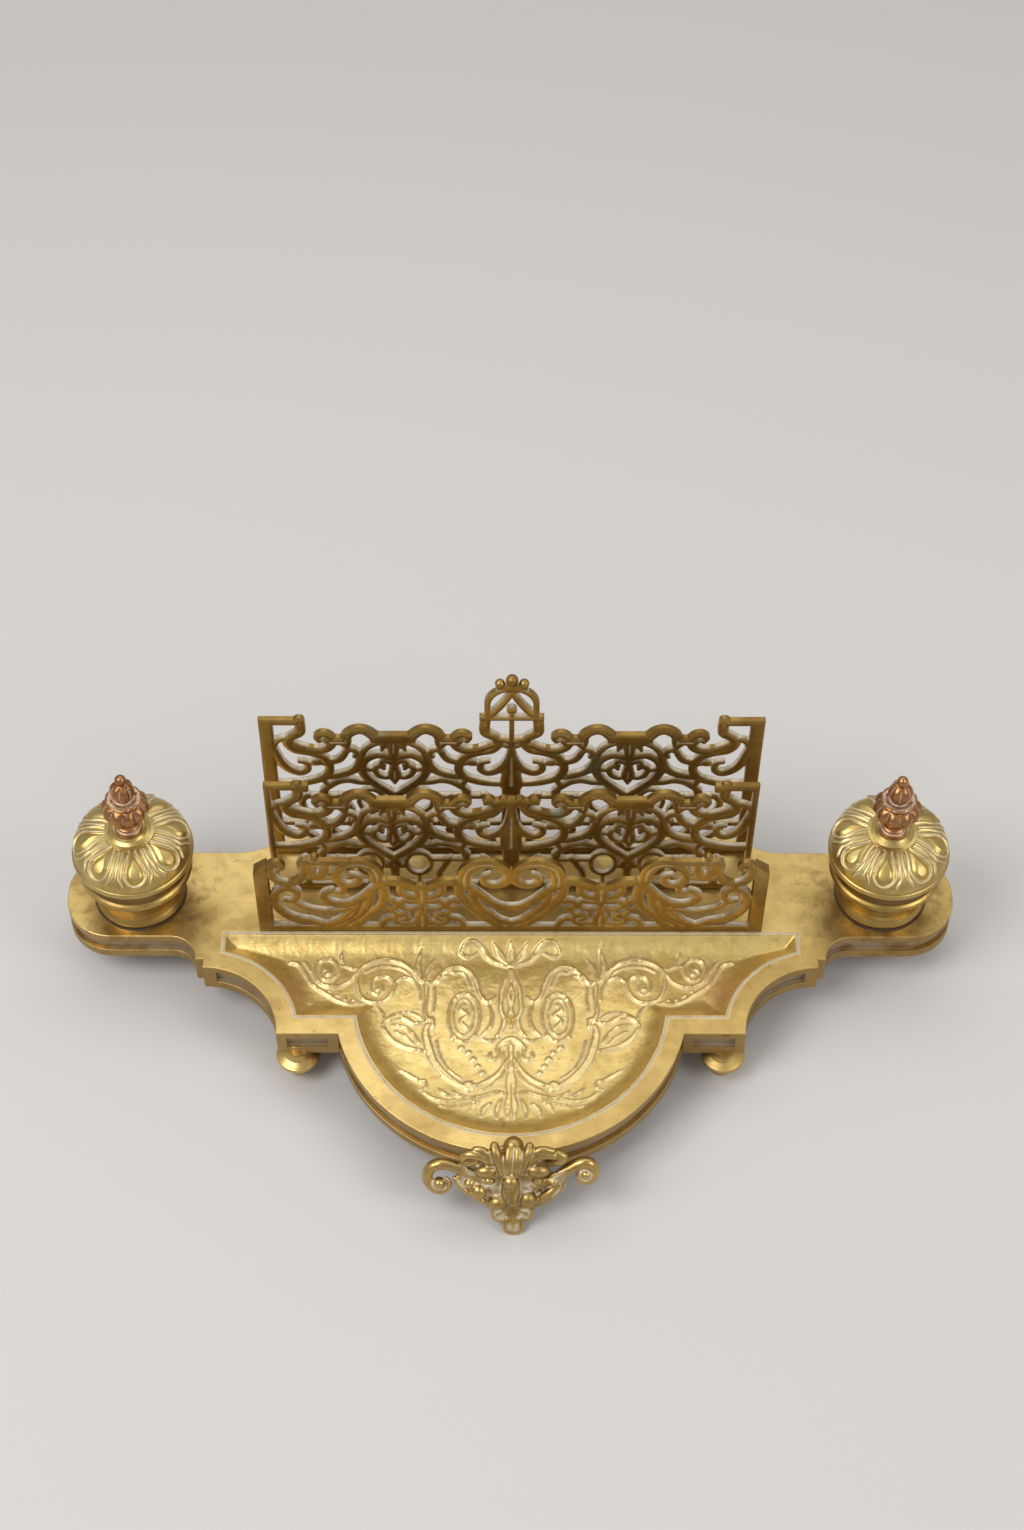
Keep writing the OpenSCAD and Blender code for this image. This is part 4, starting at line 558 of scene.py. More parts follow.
def castTray():
    look = trayLook
    step, lip = look["step"], look["line"] + 0.1
    bm = bmesh.new()
    x1, y0, y1 = 137.0, -156.0, -45.0
    bmesh.ops.create_grid(bm, x_segments=round(2 * x1 / step), y_segments=round((y1 - y0) / step), size=1)
    co = getCoords(bm)
    co[:, 0] *= x1
    co[:, 1] = y0 + (co[:, 1] + 1) / 2 * (y1 - y0)
    setCoords(bm, co)
    verts = list(bm.verts)
    inset = trayInset(co[:, 0], co[:, 1]) + lip
    bmesh.ops.delete(bm, geom=[verts[i] for i in np.where(inset < -0.7 * step)[0]], context="VERTS")
    co = getCoords(bm)
    outside = set(np.where(trayInset(co[:, 0], co[:, 1]) + lip < 0)[0])
    bm.verts.index_update()
    bmesh.ops.delete(bm, geom=[f for f in bm.faces if all(v.index in outside for v in f.verts)], context="FACES")
    bmesh.ops.delete(bm, geom=[v for v in bm.verts if not v.link_faces], context="VERTS")
    co = getCoords(bm)
    # Points near the tray's edge move onto it, so that the step down is clean
    for target, reach in ((-lip, 0.9), (-0.05, 0.34)):
        for again in range(2):
            inset = trayInset(co[:, 0], co[:, 1]) - target
            i = np.where((np.abs(inset) < reach * step) if target > -1 else inset < 0)[0]
            e = 0.05
            gx = (trayInset(co[i, 0] + e, co[i, 1]) - trayInset(co[i, 0] - e, co[i, 1])) / (2 * e)
            gy = (trayInset(co[i, 0], co[i, 1] + e) - trayInset(co[i, 0], co[i, 1] - e)) / (2 * e)
            size = np.maximum(gx * gx + gy * gy, 0.2)
            co[i, 0] -= inset[i] * gx / size
            co[i, 1] -= inset[i] * gy / size
    inset = trayInset(co[:, 0], co[:, 1])
    cove = smoothPath([[0, -0.3, 0], [1.2, -1.25, 0], [2.8, -2.5, 0], [4.8, -3.8, 0], [7.4, -5.0, 0],
                       [10.4, -5.75, 0], [13.6, -6, 0], [20, -6, 0]])
    level = np.interp(inset, cove[:, 0], cove[:, 1])
    level = np.where(inset < 0, 0.06 - 0.12 * ease(-0.35, 0, inset), level)
    drawing = trayDrawing(co[:, 0], co[:, 1])
    up = ease(0, look["puff"], drawing.depth)
    hollow = ease(0.5, 1, drawing.share) * ease(1.1, 1.5, drawing.width)
    raised = look["deep"] * (0.7 * up + 0.3 * np.clip(drawing.share, 0, 1) - 0.28 * hollow) * (drawing.depth > 0)
    x, y = co[:, 0], co[:, 1]
    # The ground between the ornament is hand-worked and never quite flat
    ripple = 0.08 * np.sin(0.41 * x + 2.1 * np.sin(0.23 * y + 0.4)) * np.sin(0.37 * y + 1.7 * np.sin(0.19 * x))
    ripple += 0.045 * np.sin(1.3 * x + 2.6 * np.sin(0.6 * y)) * np.sin(1.1 * y + 2.2 * np.sin(0.5 * x))
    vein = 0.08 * np.sin(x * 1.9 + 1.4 * np.sin(y)) * up
    shown = ease(0.4, 2.5, inset)
    co[:, 2] = level + look["over"] * (inset > 0) + (raised + ripple + vein) * shown
    setCoords(bm, co)
    edge = ease(-look["line"], -look["line"] + 0.3, inset) * (1 - ease(-0.25, 0.1, inset))
    foot = ease(-0.9, -0.1, drawing.depth) * (1 - ease(0.1, 0.8, drawing.depth)) * shown
    setMask(bm, "recess", np.clip(edge + 0.42 * foot, 0, 1))
    setMask(bm, "rub", 0.8 * up * shown)
    setMask(bm, "warm", np.exp(-((np.abs(x) - 104) / 13) ** 2 - ((y + 80) / 9) ** 2))
    return bm


def edgeWalk(level, pitch):
    # Walks round the tray at one distance from its edge and gives evenly spaced spots
    turn = np.linspace(0, 2 * math.pi, 4000, endpoint=False)
    far, near = np.full(4000, 170.0), np.zeros(4000)
    cx, cy = 0.0, -70.0
    for again in range(40):
        middle = (far + near) / 2
        inside = trayInset(cx + middle * np.cos(turn), cy + middle * np.sin(turn)) > level
        near = np.where(inside, middle, near)
        far = np.where(inside, far, middle)
    path = np.stack([cx + near * np.cos(turn), cy + near * np.sin(turn)], 1)
    run = np.concatenate([[0], np.cumsum(np.hypot(*np.diff(np.vstack([path, path[:1]]), axis=0).T))])
    count = round(run[-1] / pitch)
    at = np.arange(count) * run[-1] / count
    loop = np.vstack([path, path[:1]])
    return np.stack([np.interp(at, run, loop[:, 0]), np.interp(at, run, loop[:, 1])], 1)


trayPiece = placePiece(castTray(), "tray_relief", stand, recalc=False)
beadBm = bmesh.new()
for bx, by in edgeWalk(-1.0, trayLook["beadPitch"]):
    bmesh.ops.create_icosphere(beadBm, subdivisions=1, radius=trayLook["bead"],
                               matrix=Matrix.Translation((bx, by, 0.04)))
setMask(beadBm, "recess", [0.75] * len(beadBm.verts))
beadPiece = placePiece(beadBm, "tray_bead_line", stand, sharpAngle=3.2)
print("tray cast")


# Base: the cast plate with its edges eased

def easeBase():
    source = nodes["base_tray"]
    bm = bmesh.new()
    bm.from_mesh(source.data)
    bmesh.ops.transform(bm, matrix=Matrix.Translation((0, -place["back"], -place["top"])) @ Matrix.Scale(1000, 4)
                        @ source.matrix_world, verts=bm.verts[:])
    bmesh.ops.remove_doubles(bm, verts=bm.verts[:], dist=0.002)
    bmesh.ops.dissolve_limit(bm, angle_limit=0.02, verts=bm.verts[:], edges=bm.edges[:])
    bmesh.ops.recalc_face_normals(bm, faces=bm.faces[:])
    rim, ends = [], []
    for edge in bm.edges:
        if len(edge.link_faces) != 2 or edge.calc_face_angle_signed(0) < 0.9:
            continue
        z = [v.co.z for v in edge.verts]
        flat = abs(z[0] - z[1]) < 0.01
        outer = all(trayInset(np.array([v.co.x]), np.array([v.co.y]))[0] < -1 for v in edge.verts)
        if flat and outer and (z[0] > -0.01 or abs(z[0] + 4.4) < 0.05 or abs(z[0] + 11.8) < 0.05):
            rim.append(edge)
            if z[0] > -0.01:
                ends.append([v.co[:2] for v in edge.verts])
    bmesh.ops.bevel(bm, geom=rim, affect="EDGES", offset=0.3, segments=2, profile=0.5, material=-1)
    # The floor of the groove and of the small sunk panels, marked for their grey bloom
    layer = bm.verts.layers.float.new("recess")
    a, b = np.array([e[0] for e in ends]), np.array([e[1] for e in ends])
    for v in bm.verts:
        if -12 < v.co.z < -4.2:
            spot = np.array(v.co[:2])
            t = np.clip(((spot - a) * (b - a)).sum(1) / np.maximum(((b - a) ** 2).sum(1), 1e-9), 0, 1)
            v[layer] = float(np.linalg.norm(a + t[:, None] * (b - a) - spot, axis=1).min() > 1.2)
    return bm


basePiece = placePiece(easeBase(), "base_plate", stand, ["base_tray"], sharpAngle=0.16)
print("base eased")


# Turned and fluted pieces

def lathe(bm, profile, turns, shape=None, centre=(0, 0, 0), closed=False):
    # Spins a profile of [radius, height] points; shape moves the points by their angle
    layer = bm.verts.layers.float.get("recess") or bm.verts.layers.float.new("recess")
    before = set(bm.verts)
    verts = [bm.verts.new((max(r, 0.0), 0, z)) for r, z in profile]
    edges = [bm.edges.new(pair) for pair in zip(verts, verts[1:])]
    if closed:
        edges.append(bm.edges.new((verts[-1], verts[0])))
    bmesh.ops.spin(bm, geom=verts + edges, cent=(0, 0, 0), axis=(0, 0, 1), angle=2 * math.pi, steps=turns,
                   use_merge=True)
    made = [v for v in bm.verts if v not in before]
    bmesh.ops.remove_doubles(bm, verts=made, dist=0.0005)
    made = [v for v in bm.verts if v not in before]
    co = np.array([v.co[:] for v in made])
    r, a = np.hypot(co[:, 0], co[:, 1]), np.arctan2(co[:, 1], co[:, 0])
    z = co[:, 2]
    value = np.zeros(len(made))
    if shape:
        r, z, value = shape(r, a, z)
    for v, vr, va, vz, m in zip(made, r, a, z, value):
        v.co = Vector((vr * math.cos(va) + centre[0], vr * math.sin(va) + centre[1], vz + centre[2]))
        v[layer] = float(m)
    return made


def roundProfile(points, steps=5):
    p = smoothPath([[r, z, 0] for r, z in points], steps)
    return [(r, z) for r, z, w in p]


lidLook = {"petals": 8, "rim": 28.2, "crown": 10.6, "height": 15.4, "wall": 2.2, "line": 0.62, "pillow": 0.75,
           "turnLeft": -80.0, "turnRight": -103.0}


def domeCurve(wall, steps):
    look = lidLook
    out = []
    for i in range(steps + 1):
        a = math.pi / 2 * i / steps
        out.append((look["crown"] - wall + (look["rim"] - 0.8 - look["crown"]) * math.cos(a),
                    4 + (look["height"] - wall - 4) * math.sin(a)))
    return out


def petalShape(turnBy):
    look = lidLook
    outer = np.array(domeCurve(0, 60))
    run = np.concatenate([[0], np.cumsum(np.hypot(*np.diff(outer, axis=0).T))])
    total = run[-1]
    part = 2 * math.pi / look["petals"]
    tongue = smoothPath([[0.6, 0, 2.6], [4, 0, 4.4], [8, 0, 7.2], [11.6, 0, 10.2], [13.2, 0, 10.8]])

    def shape(r, a, z):
        onDome = (z > 3.6) & (r > look["crown"] - 0.3)
        down = total - np.interp(z, outer[:, 1], run)     # distance down the dome from the crown
        inner = z < np.interp(r, outer[::-1, 0], outer[::-1, 1]) - 0.8
        onDome &= ~inner
        off = (a - turnBy + part / 2) % part - part / 2
        spots = np.stack([down, np.abs(off) * r], 1)
        petal = Drawing(len(r))
        petal.stroke(spots, tongue)
        d = petal.depth
        ridge = np.exp(-((d - 0.1) / 0.46) ** 2)
        trough = np.exp(-((d - 1.1) / 0.5) ** 2)
        pillow = ease(1.2, 3.4, d)
        between = part / 2 - np.abs(off)
        across = between * r
        spread = 0.7 + 0.5 * ease(4, 13, down) + 2.7 * ease(14, 18.6, down)
        dart = np.exp(-((across - spread) / 0.4) ** 2) * ease(0.4, 2, down) * (1 - ease(18.4, 19.4, down)) * (d < -0.2)
        lift = look["line"] * np.maximum(ridge, dart) - 0.25 * trough + look["pillow"] * pillow
        lift = np.where(onDome, lift, 0.0)
        slope = np.clip((r - look["crown"]) / (look["rim"] - look["crown"]), 0, 1)
        pale = np.where(onDome, np.clip(np.maximum(ridge, dart) ** 2, 0, 1), 0.0)
        return r + lift * slope, z + lift * np.sqrt(1 - 0.8 * slope ** 2), pale

    return shape


def makeLid(side, s):
    look = lidLook
    bm = bmesh.new()
    cx, cy, cz = s * place["wellX"], place["wellY"], place["lidSeat"]
    edge = [(25.0, 0.05), (27.3, 0.0), (27.8, 0.15), (28.1, 0.55), (28.2, 1.2), (28.2, 2.0), (28.05, 2.6),
            (27.6, 2.95), (27.3, 3.2), (27.3, 3.5)]
    profile = [(2.05, look["height"])] + domeCurve(0, 64)[::-1] + edge[::-1] + domeCurve(look["wall"], 16)
    profile += [(2.05, look["height"] - look["wall"])]
    turnBy = math.radians(look["turnLeft"] if s < 0 else look["turnRight"])
    lathe(bm, profile, 360, petalShape(turnBy), (cx, cy, cz), closed=True)
    tube = bmesh.new()
    lathe(tube, [(0.85, -2.9), (1.7, -2.9), (1.8, -2.8), (1.8, 2.8), (1.7, 2.9), (0.85, 2.9)], 32, closed=True)
    bmesh.ops.rotate(tube, cent=(0, 0, 0), matrix=Matrix.Rotation(math.pi / 2, 3, "Y"), verts=tube.verts[:])
    bmesh.ops.translate(tube, vec=(cx, cy + 30.6, cz), verts=tube.verts[:])
    joinInto(bm, tube)
    tongue = bmesh.new()
    addBlock(tongue, cx - 2.9, cy + 26.2, cz + 0.05, cx + 2.9, cy + 29.6, cz + 1.6, 0.2)
    joinInto(bm, tongue)
    return placePiece(bm, "lid_dome_" + side, lidBody[side], ["lid_" + side], sharpAngle=0.8)


def finialShape(r, a, z):
    # Flutes: ten on the bulb, eight on the cup, six on the bud
    bulb = ease(5.5, 10, z) * (1 - ease(18.6, 20.2, z))
    cup = np.exp(-((z - 21.2) / 0.9) ** 2) * (r > 4)
    bud = ease(23, 25.4, z) * (1 - ease(30.5, 32.6, z))
    tenth, eighth, sixth = np.abs(np.cos(5 * a)), np.abs(np.cos(4 * a)), np.abs(np.cos(3 * a + 0.4))
    low = 1 - tenth ** 0.55
    r = r - 2.0 * bulb * low - 0.7 * cup * (1 - eighth ** 0.6) - 1.0 * bud * (1 - sixth ** 0.6)
    pale = bulb * np.exp(-(tenth / 0.16) ** 2) + cup * np.exp(-(eighth / 0.3) ** 2)
    pale += bud * np.exp(-(sixth / 0.2) ** 2) * 0.8 + 0.7 * np.exp(-((z - 21.9) / 0.22) ** 2) * (r < 7)
    pale += 0.8 * np.exp(-((z - 1.45) / 0.2) ** 2)
    return r, z, np.clip(pale, 0, 1)


def makeFinial(side, s):
    bm = bmesh.new()
    cx, cy, cz = s * place["wellX"], place["wellY"], place["lidSeat"] + 19.0
    points = [(0, 0.02), (5.9, 0.02), (6.35, 0.25), (6.4, 0.8), (6.0, 1.25), (5.45, 1.5), (5.6, 2.0), (5.85, 2.5),
              (5.6, 3.0), (4.9, 3.5), (4.5, 4.6), (5.0, 6.4), (6.5, 8.8), (8.7, 10.8), (10.3, 12.8), (11.05, 14.8),
              (10.9, 16.6), (10.0, 18.2), (8.5, 19.5), (7.1, 20.1), (7.0, 20.4), (8.0, 20.8), (8.3, 21.25),
              (7.9, 21.75), (6.6, 21.85), (5.0, 21.7), (4.0, 22.1), (4.2, 23.1), (5.1, 24.3), (5.6, 25.9),
              (5.7, 27.6), (5.3, 29.3), (4.6, 30.6), (3.6, 31.5), (2.4, 32.2), (1.5, 32.55)]
    profile = roundProfile(points, 4)
    profile += [(2.6 * math.cos(t), 34.8 + 2.6 * math.sin(t)) for t in np.linspace(-1.0, math.pi / 2, 16)]
    lathe(bm, profile, 240, finialShape, (cx, cy, cz))
    for i in range(8):
        t = math.pi / 4 * (i + 0.5)
        addBall(bm, cx + 5.9 * math.cos(t), cy + 5.9 * math.sin(t), cz + 21.9, 0.75, 2)
    for i in range(6):
        t = math.pi / 3 * i + 0.4
        addBall(bm, cx + 2.9 * math.cos(t), cy + 2.9 * math.sin(t), cz + 31.6, 0.62, 2)
    bolt = bmesh.new()
    lathe(bolt, [(0, -9.3), (1.8, -9.3), (2.0, -9.1), (2.0, 0.5), (0, 0.5)], 24, None, (cx, cy, cz))
    joinInto(bm, bolt)
    return placePiece(bm, "finial_turned_" + side, lidBody[side], ["finial_" + side], sharpAngle=1.2)


lids, finials = [], []
for side, s in (("left", -1), ("right", 1)):
    lids.append(makeLid(side, s))
    finials.append(makeFinial(side, s))
print("lids and finials turned")


# Mask: soft lumps and ropes fused and smoothed like a casting. Ropes hold [across, up, out, thickness] points
# and lumps [across, up, out, half width, half height, half depth, turn], in the plane of the face

maskLook = {"lean": math.radians(27.135), "grain": 0.00042, "top": (-164.7, 1.0), "roundings": 3}

maskRopes = [
    # Ribs and drop over the nose
    [[-7.6, 5.6, 2, 4], [-7, 3.4, 3.6, 4.8], [-5.6, -0.9, 4.2, 5], [-4, -6.4, 4.2, 4.4]],
    [[8, 5.4, 2, 3.8], [7.4, 3.2, 3.6, 4.6], [5.8, -0.9, 4.2, 4.8], [4.2, -6.4, 4.2, 4.4]],
    [[-1, 3.4, 2.4, 4.6], [-1.4, 0, 4.4, 4.8], [-1.6, -4, 5.2, 4], [-1.6, -7.4, 5, 3.2]],
    [[2.9, 3.4, 2.4, 4.6], [2.7, 0, 4.4, 4.8], [2.1, -4, 5.2, 4], [1.6, -7.4, 5, 3.2]],
    # Brow leaves with their block ends
    [[-8.6, -1.6, 2.6, 4.4], [-10.9, 2.4, 3.2, 3.8], [-13, 4.0, 3.2, 3.2], [-15.4, 4.4, 2.8, 2.8], [-16.6, 3.8, 2.4, 2.6]],
    [[-9.6, -1.8, 2.8, 4.2], [-12.3, 0.8, 3.6, 4.4], [-16.1, 1.9, 3.4, 4.4], [-19.5, 1.6, 2.8, 4.2],
     [-21.4, -0.4, 2, 3.8], [-21.6, -3.2, 1, 3]],
    [[-21, -3.6, 1, 3], [-18.6, -4.1, 0.8, 3.4], [-15.4, -3.6, 1, 2.6]],
    [[8.8, 0.6, 3, 4], [11.3, 3.8, 3.4, 3.6], [14.5, 4.6, 3.4, 3.2], [18, 3.6, 3, 3]],
    [[8.4, -2.4, 2.6, 4.4], [10.4, 0.8, 3.4, 4.2], [14.5, 1.9, 3.4, 4.2], [18.8, 1.2, 3, 3.8]],
    [[19.4, -3.4, 1, 3.4], [21.6, -2.2, 1.6, 4.6], [22.8, 0.2, 2, 4.6], [20.6, 1.8, 2.4, 3.8]],
    # Straight edges of the upper lids, and the lower lids
    [[-15.8, -8.4, 1.8, 1.4], [-13.6, -9.2, 3.4, 1.9], [-9.6, -9.2, 4, 2], [-5.6, -8.8, 3.6, 1.7]],
    [[16.4, -8.2, 1.8, 1.4], [14.2, -9.2, 3.4, 1.9], [9.8, -9.2, 4, 2], [5.6, -8.8, 3.6, 1.7]],
    [[-14.4, -11.4, 1.6, 1.6], [-12.6, -14.6, 2, 1.7], [-9.5, -15.6, 2.2, 1.7], [-6.6, -14.4, 2.2, 1.5]],
    [[8.2, -14.8, 2.2, 1.5], [11.5, -16, 2.4, 1.8], [14.6, -14.8, 2.2, 1.8], [15.6, -11.8, 1.6, 1.6]],
    # Moustache between the cheeks
    [[-2.6, -13.6, 3.4, 3.2], [-2.8, -18, 4, 3.9], [-2.7, -23.6, 2.8, 3.4]],
    [[2.2, -13.6, 3.4, 3.2], [1.9, -18, 4, 3.9], [1.4, -23.6, 2.8, 3.4]],
    # Twisted whisker on one side, and the raised edge of the face
    [[9.8, -24.6, 1.4, 2.8], [12.4, -22.8, 1.9, 3.6], [14.8, -20.6, 2.2, 3.8], [17.3, -18.4, 2.2, 3.8], [19.9, -16, 1.4, 3]],
    [[-25.1, -12.6, 0.2, 2], [-23.2, -16.2, 0.6, 2.6], [-18.2, -20.4, 0.9, 3], [-13, -23.6, 1, 3.2], [-9.6, -26.4, 0.8, 2.6]],
    [[23.2, -12.4, 0.2, 2], [23, -17, 0.6, 2.4], [18.2, -21.4, 0.9, 2.8], [13.8, -24.6, 1, 3], [10, -26.8, 0.8, 2.6]],
    # Rims and veins of the shell under the chin
    [[-7.4, -26.8, 0.8, 1.6], [-8.5, -29.8, 1, 1.7], [-7.9, -32.9, 1, 1.7], [-5.4, -34.7, 1, 1.7], [-3.2, -33.4, 1.2, 1.5]],
    [[8.2, -26.6, 0.8, 1.6], [9.4, -29.2, 1, 1.7], [8.9, -32.2, 1, 1.7], [6.7, -33.8, 1, 1.7], [4.7, -32.7, 1.2, 1.5]],
    [[-3.1, -34.2, 1.6, 1.6], [-3.3, -37.6, 1.9, 1.7], [-1.8, -40, 2, 1.7], [0.9, -40.6, 2, 1.8], [3.6, -40, 2, 1.7],
     [5.1, -37.6, 1.9, 1.7], [4.9, -34, 1.6, 1.6]],
    [[-1.4, -26.6, 2, 1.5], [-3.6, -29.2, 1.6, 1.6], [-6, -30.6, 1.3, 1.8], [-6.2, -32, 1, 1.3]],
    [[1.6, -26.6, 2, 1.5], [4.2, -29, 1.6, 1.6], [6.8, -30, 1.3, 1.8], [7, -31.4, 1, 1.3]],
    [[0.2, -28, 1.6, 1.4], [0.8, -32.4, 2, 2.4], [0.9, -35.6, 2.4, 2.6], [0.9, -38, 2, 1.2]],
    # Scrolls, each with its rolled end
    [[-12, -13.6, 0.6, 4.6], [-18.6, -10, 0.4, 4.6], [-22.9, -7.4, 0.2, 4.8], [-27.3, -5.6, 0.2, 5], [-31.7, -5, 0.2, 5.2],
     [-35.4, -6.8, 0, 5.2], [-37.2, -10.4, 0, 5], [-36.8, -14.4, 0, 4.8], [-34.2, -17.8, 0.2, 4.4], [-30.6, -18.6, 0.4, 4],
     [-27.9, -16.6, 0.6, 3], [-27.6, -13.8, 1, 2.2], [-29, -11.8, 1.2, 1.6]],
    [[12, -14.6, 0.6, 4.6], [17.6, -13, 0.4, 4.8], [22.4, -9.8, 0.2, 5], [26.9, -6.6, 0.2, 5.4], [31.2, -4.4, 0.2, 5.4],
     [34.6, -4.6, 0.2, 5.2], [36.8, -7.8, 0, 4.8], [36.2, -11.8, 0, 4.4], [33.4, -14, 0.2, 3.8], [30.4, -13, 0.6, 3],
     [29.6, -10.6, 1, 2.2], [31, -8.8, 1.2, 1.6]],
    [[-17.4, -8.2, 1.6, 1.3], [-23, -5.4, 1.6, 1.4], [-28, -3.8, 1.6, 1.4], [-32.6, -3.6, 1.6, 1.4], [-36.4, -6, 1.4, 1.3]],
    [[17.6, -10.4, 1.6, 1.3], [23.2, -7.2, 1.6, 1.4], [28.2, -3.8, 1.6, 1.4], [33, -2.4, 1.6, 1.4], [36.6, -4.6, 1.4, 1.3]],
]

maskLumps = [
    # Face plate, from the brow to the chin
    [0, -5, -0.8, 14, 7, 3, 0], [0, -13, -0.6, 17, 8, 3.4, 0], [0, -20, -0.6, 14, 7, 3.2, 0], [0, -26.5, -0.4, 8, 6, 2.6, 0],
    [-18.4, -14.4, -0.6, 7, 3.6, 2.4, -0.35], [18.4, -14.4, -0.6, 6, 4.6, 2.4, 0.3],
    # Hooded lids, eyes and nose
    [-10.9, -6.6, 2.7, 5.4, 3.3, 3.7, 0.1], [11.6, -6.4, 2.7, 5.6, 3.5, 3.8, -0.1],
    [-9.7, -12.4, 1.9, 2.7, 2, 2.4, 0], [11.6, -12.2, 2.3, 2.6, 2.2, 2.6, 0],
    [-0.3, -10.6, 5.6, 3.9, 3.7, 3.8, 0], [-0.3, -18, 3.2, 1.6, 6.4, 2.2, 0],
    # Cheeks, mouth and curls
    [-6.6, -17.4, 1.4, 3.6, 3.2, 2.2, 0], [6.6, -17, 1.4, 3.6, 3, 2.2, 0], [-14.3, -17.8, 2.5, 3.5, 4, 3.6, 0.3],
    [-18.6, -14, 2, 2.5, 2.3, 2.3, 0], [-6, -22.9, 3.2, 4.5, 3.5, 3.8, 0.25], [7.4, -21.6, 3.2, 3.9, 4.3, 3.8, 0],
    [18.8, -13.4, 1.9, 2.2, 2, 2.2, 0],
    # Shell lobes and the toe on the table
    [-5.2, -30.4, 0, 4, 4.4, 1.7, 0], [6, -29.8, 0, 4, 4.2, 1.7, 0], [0.9, -36.2, 1, 4.5, 4.9, 2, 0],
    [0.6, -29, 0.6, 4, 4.4, 2.2, 0],
    # Rolled ends of the scrolls
    [-32, -14.4, 1, 2.7, 2.7, 3, 0], [33, -9.8, 1, 2.4, 2.4, 2.8, 0],
    # Back of the casting, up against the edge of the base
    [0, -4, -4.2, 13, 6, 3.4, 0], [0, -14, -5.5, 12, 8, 4, 0], [0, -22, -4.5, 8, 6, 3, 0],
]

# Where pale bloom has settled, as [across, up, out, reach]
maskBloom = [[-6.7, -18, 3, 3.6], [6.7, -16.6, 3, 3.6], [-9.8, -14, 3, 3.4], [-15.4, -3.4, 1.5, 3.4], [14.6, -3.6, 1.5, 3.4],
             [-22.6, -15.6, 1, 3.6], [21.4, -10, 1, 4], [-5.3, -31, 1, 3], [6, -30.4, 1, 3], [0.9, -37, 2, 2.8],
             [19.6, -19, 1, 3], [-32.4, -14.4, 0.5, 4.2], [33, -10, 0.5, 4], [-19.4, -8.8, 0.6, 3.4], [0, -21, 2.6, 1.6]]


def onMask(u, v, w):
    c, s = math.cos(maskLook["lean"]), math.sin(maskLook["lean"])
    return Vector((u, maskLook["top"][0] + v * s - w * c, maskLook["top"][1] + v * c + w * s))


def addLump(bm, u, v, w, ru, rv, rw, spin=0.0):
    lean = Matrix.Rotation(math.pi / 2 - maskLook["lean"], 4, "X")
    matrix = Matrix.Translation(onMask(u, v, w)) @ lean @ Matrix.Rotation(spin, 4, "Z") @ Matrix.Diagonal(
        (ru, rv, rw, 1))
    bmesh.ops.create_icosphere(bm, subdivisions=3, radius=1, matrix=matrix)


def makeMask():
    bm = bmesh.new()
    for points in maskRopes:
        p = np.array(points, float)
        path, depth = smoothPath(p[:, [0, 1, 3]], 5), smoothPath(p[:, [2, 2, 3]], 5)[:, 0]
        for (u, v, t), w in zip(path, depth):
            addLump(bm, u, v, w, t / 2, t / 2, t / 2 * 1.1)
    for lump in maskLumps:
        addLump(bm, *lump)
    bmesh.ops.create_icosphere(bm, subdivisions=4, radius=4.6, matrix=Matrix.Translation((0.9, -162.2, 3.5)))
    return bm


def fuse(bm, grain, roundings):
    rough = bpy.data.meshes.new("rough")
    bmesh.ops.transform(bm, matrix=Matrix.Scale(0.001, 4), verts=bm.verts[:])
    bm.to_mesh(rough)
    bm.free()
    holder = bpy.data.objects.new("rough", rough)
    bpy.context.scene.collection.objects.link(holder)
    remesh = holder.modifiers.new("remesh", "REMESH")
    remesh.mode, remesh.voxel_size = "VOXEL", grain
    soften = holder.modifiers.new("soften", "SMOOTH")
    soften.factor, soften.iterations = 0.5, roundings
    done = bpy.data.meshes.new_from_object(holder.evaluated_get(bpy.context.evaluated_depsgraph_get()))
    bpy.data.objects.remove(holder)
    out = bmesh.new()
    out.from_mesh(done)
    bmesh.ops.transform(out, matrix=Matrix.Scale(1000, 4), verts=out.verts[:])
    return out


def baseLevel(x, y):
    # Distance inside the bowed front of the base
    return 81.7 - np.hypot(x, y + 82)


def castMask():
    bm = fuse(makeMask(), maskLook["grain"], maskLook["roundings"])
    co = getCoords(bm)
    # What would reach into the base is pushed out to its face, except the knob on the rim
    inside = baseLevel(co[:, 0], co[:, 1])
    low = co[:, 2] < 0.1
    push = np.where(low & (inside > -0.05), inside + 0.05, 0)
    away = np.stack([co[:, 0], co[:, 1] + 82], 1)
    away /= np.maximum(np.hypot(away[:, 0], away[:, 1]), 1e-6)[:, None]
    co[:, :2] += away * push[:, None]
    co[:, 2] = np.maximum(co[:, 2], -34.95)
    setCoords(bm, co)
    # Hollows are found from how far the surface lies below its neighbours
    bm.normal_update()
    bend = np.array([sum((e.other_vert(v).co - v.co).dot(v.normal) for e in v.link_edges) / max(len(v.link_edges), 1)
                     for v in bm.verts])
    neighbours = [[e.other_vert(v).index for e in v.link_edges] for v in bm.verts]
    for again in range(6):
        bend = np.array([0.4 * b + 0.6 * bend[n].mean() if n else b for b, n in zip(bend, neighbours)])
    bloom = np.clip((bend - 0.004) / 0.03, 0, 1)
    for u, v, w, reach in maskBloom:
        away = np.linalg.norm(co - np.array(onMask(u, v, w)), axis=1)
        bloom = np.maximum(bloom, np.exp(-(away / reach) ** 4) * np.clip((bend + 0.018) / 0.022, 0, 1))
    setMask(bm, "recess", bloom)
    setMask(bm, "rub", np.clip((-0.008 - bend) / 0.03, 0, 1) * (1 - bloom))
    return bm


maskPiece = placePiece(castMask(), "mask_cast", stand, ["front_mask"], sharpAngle=3.2)
print("mask cast", len(maskPiece.data.polygons))


# Metal, glass and leather

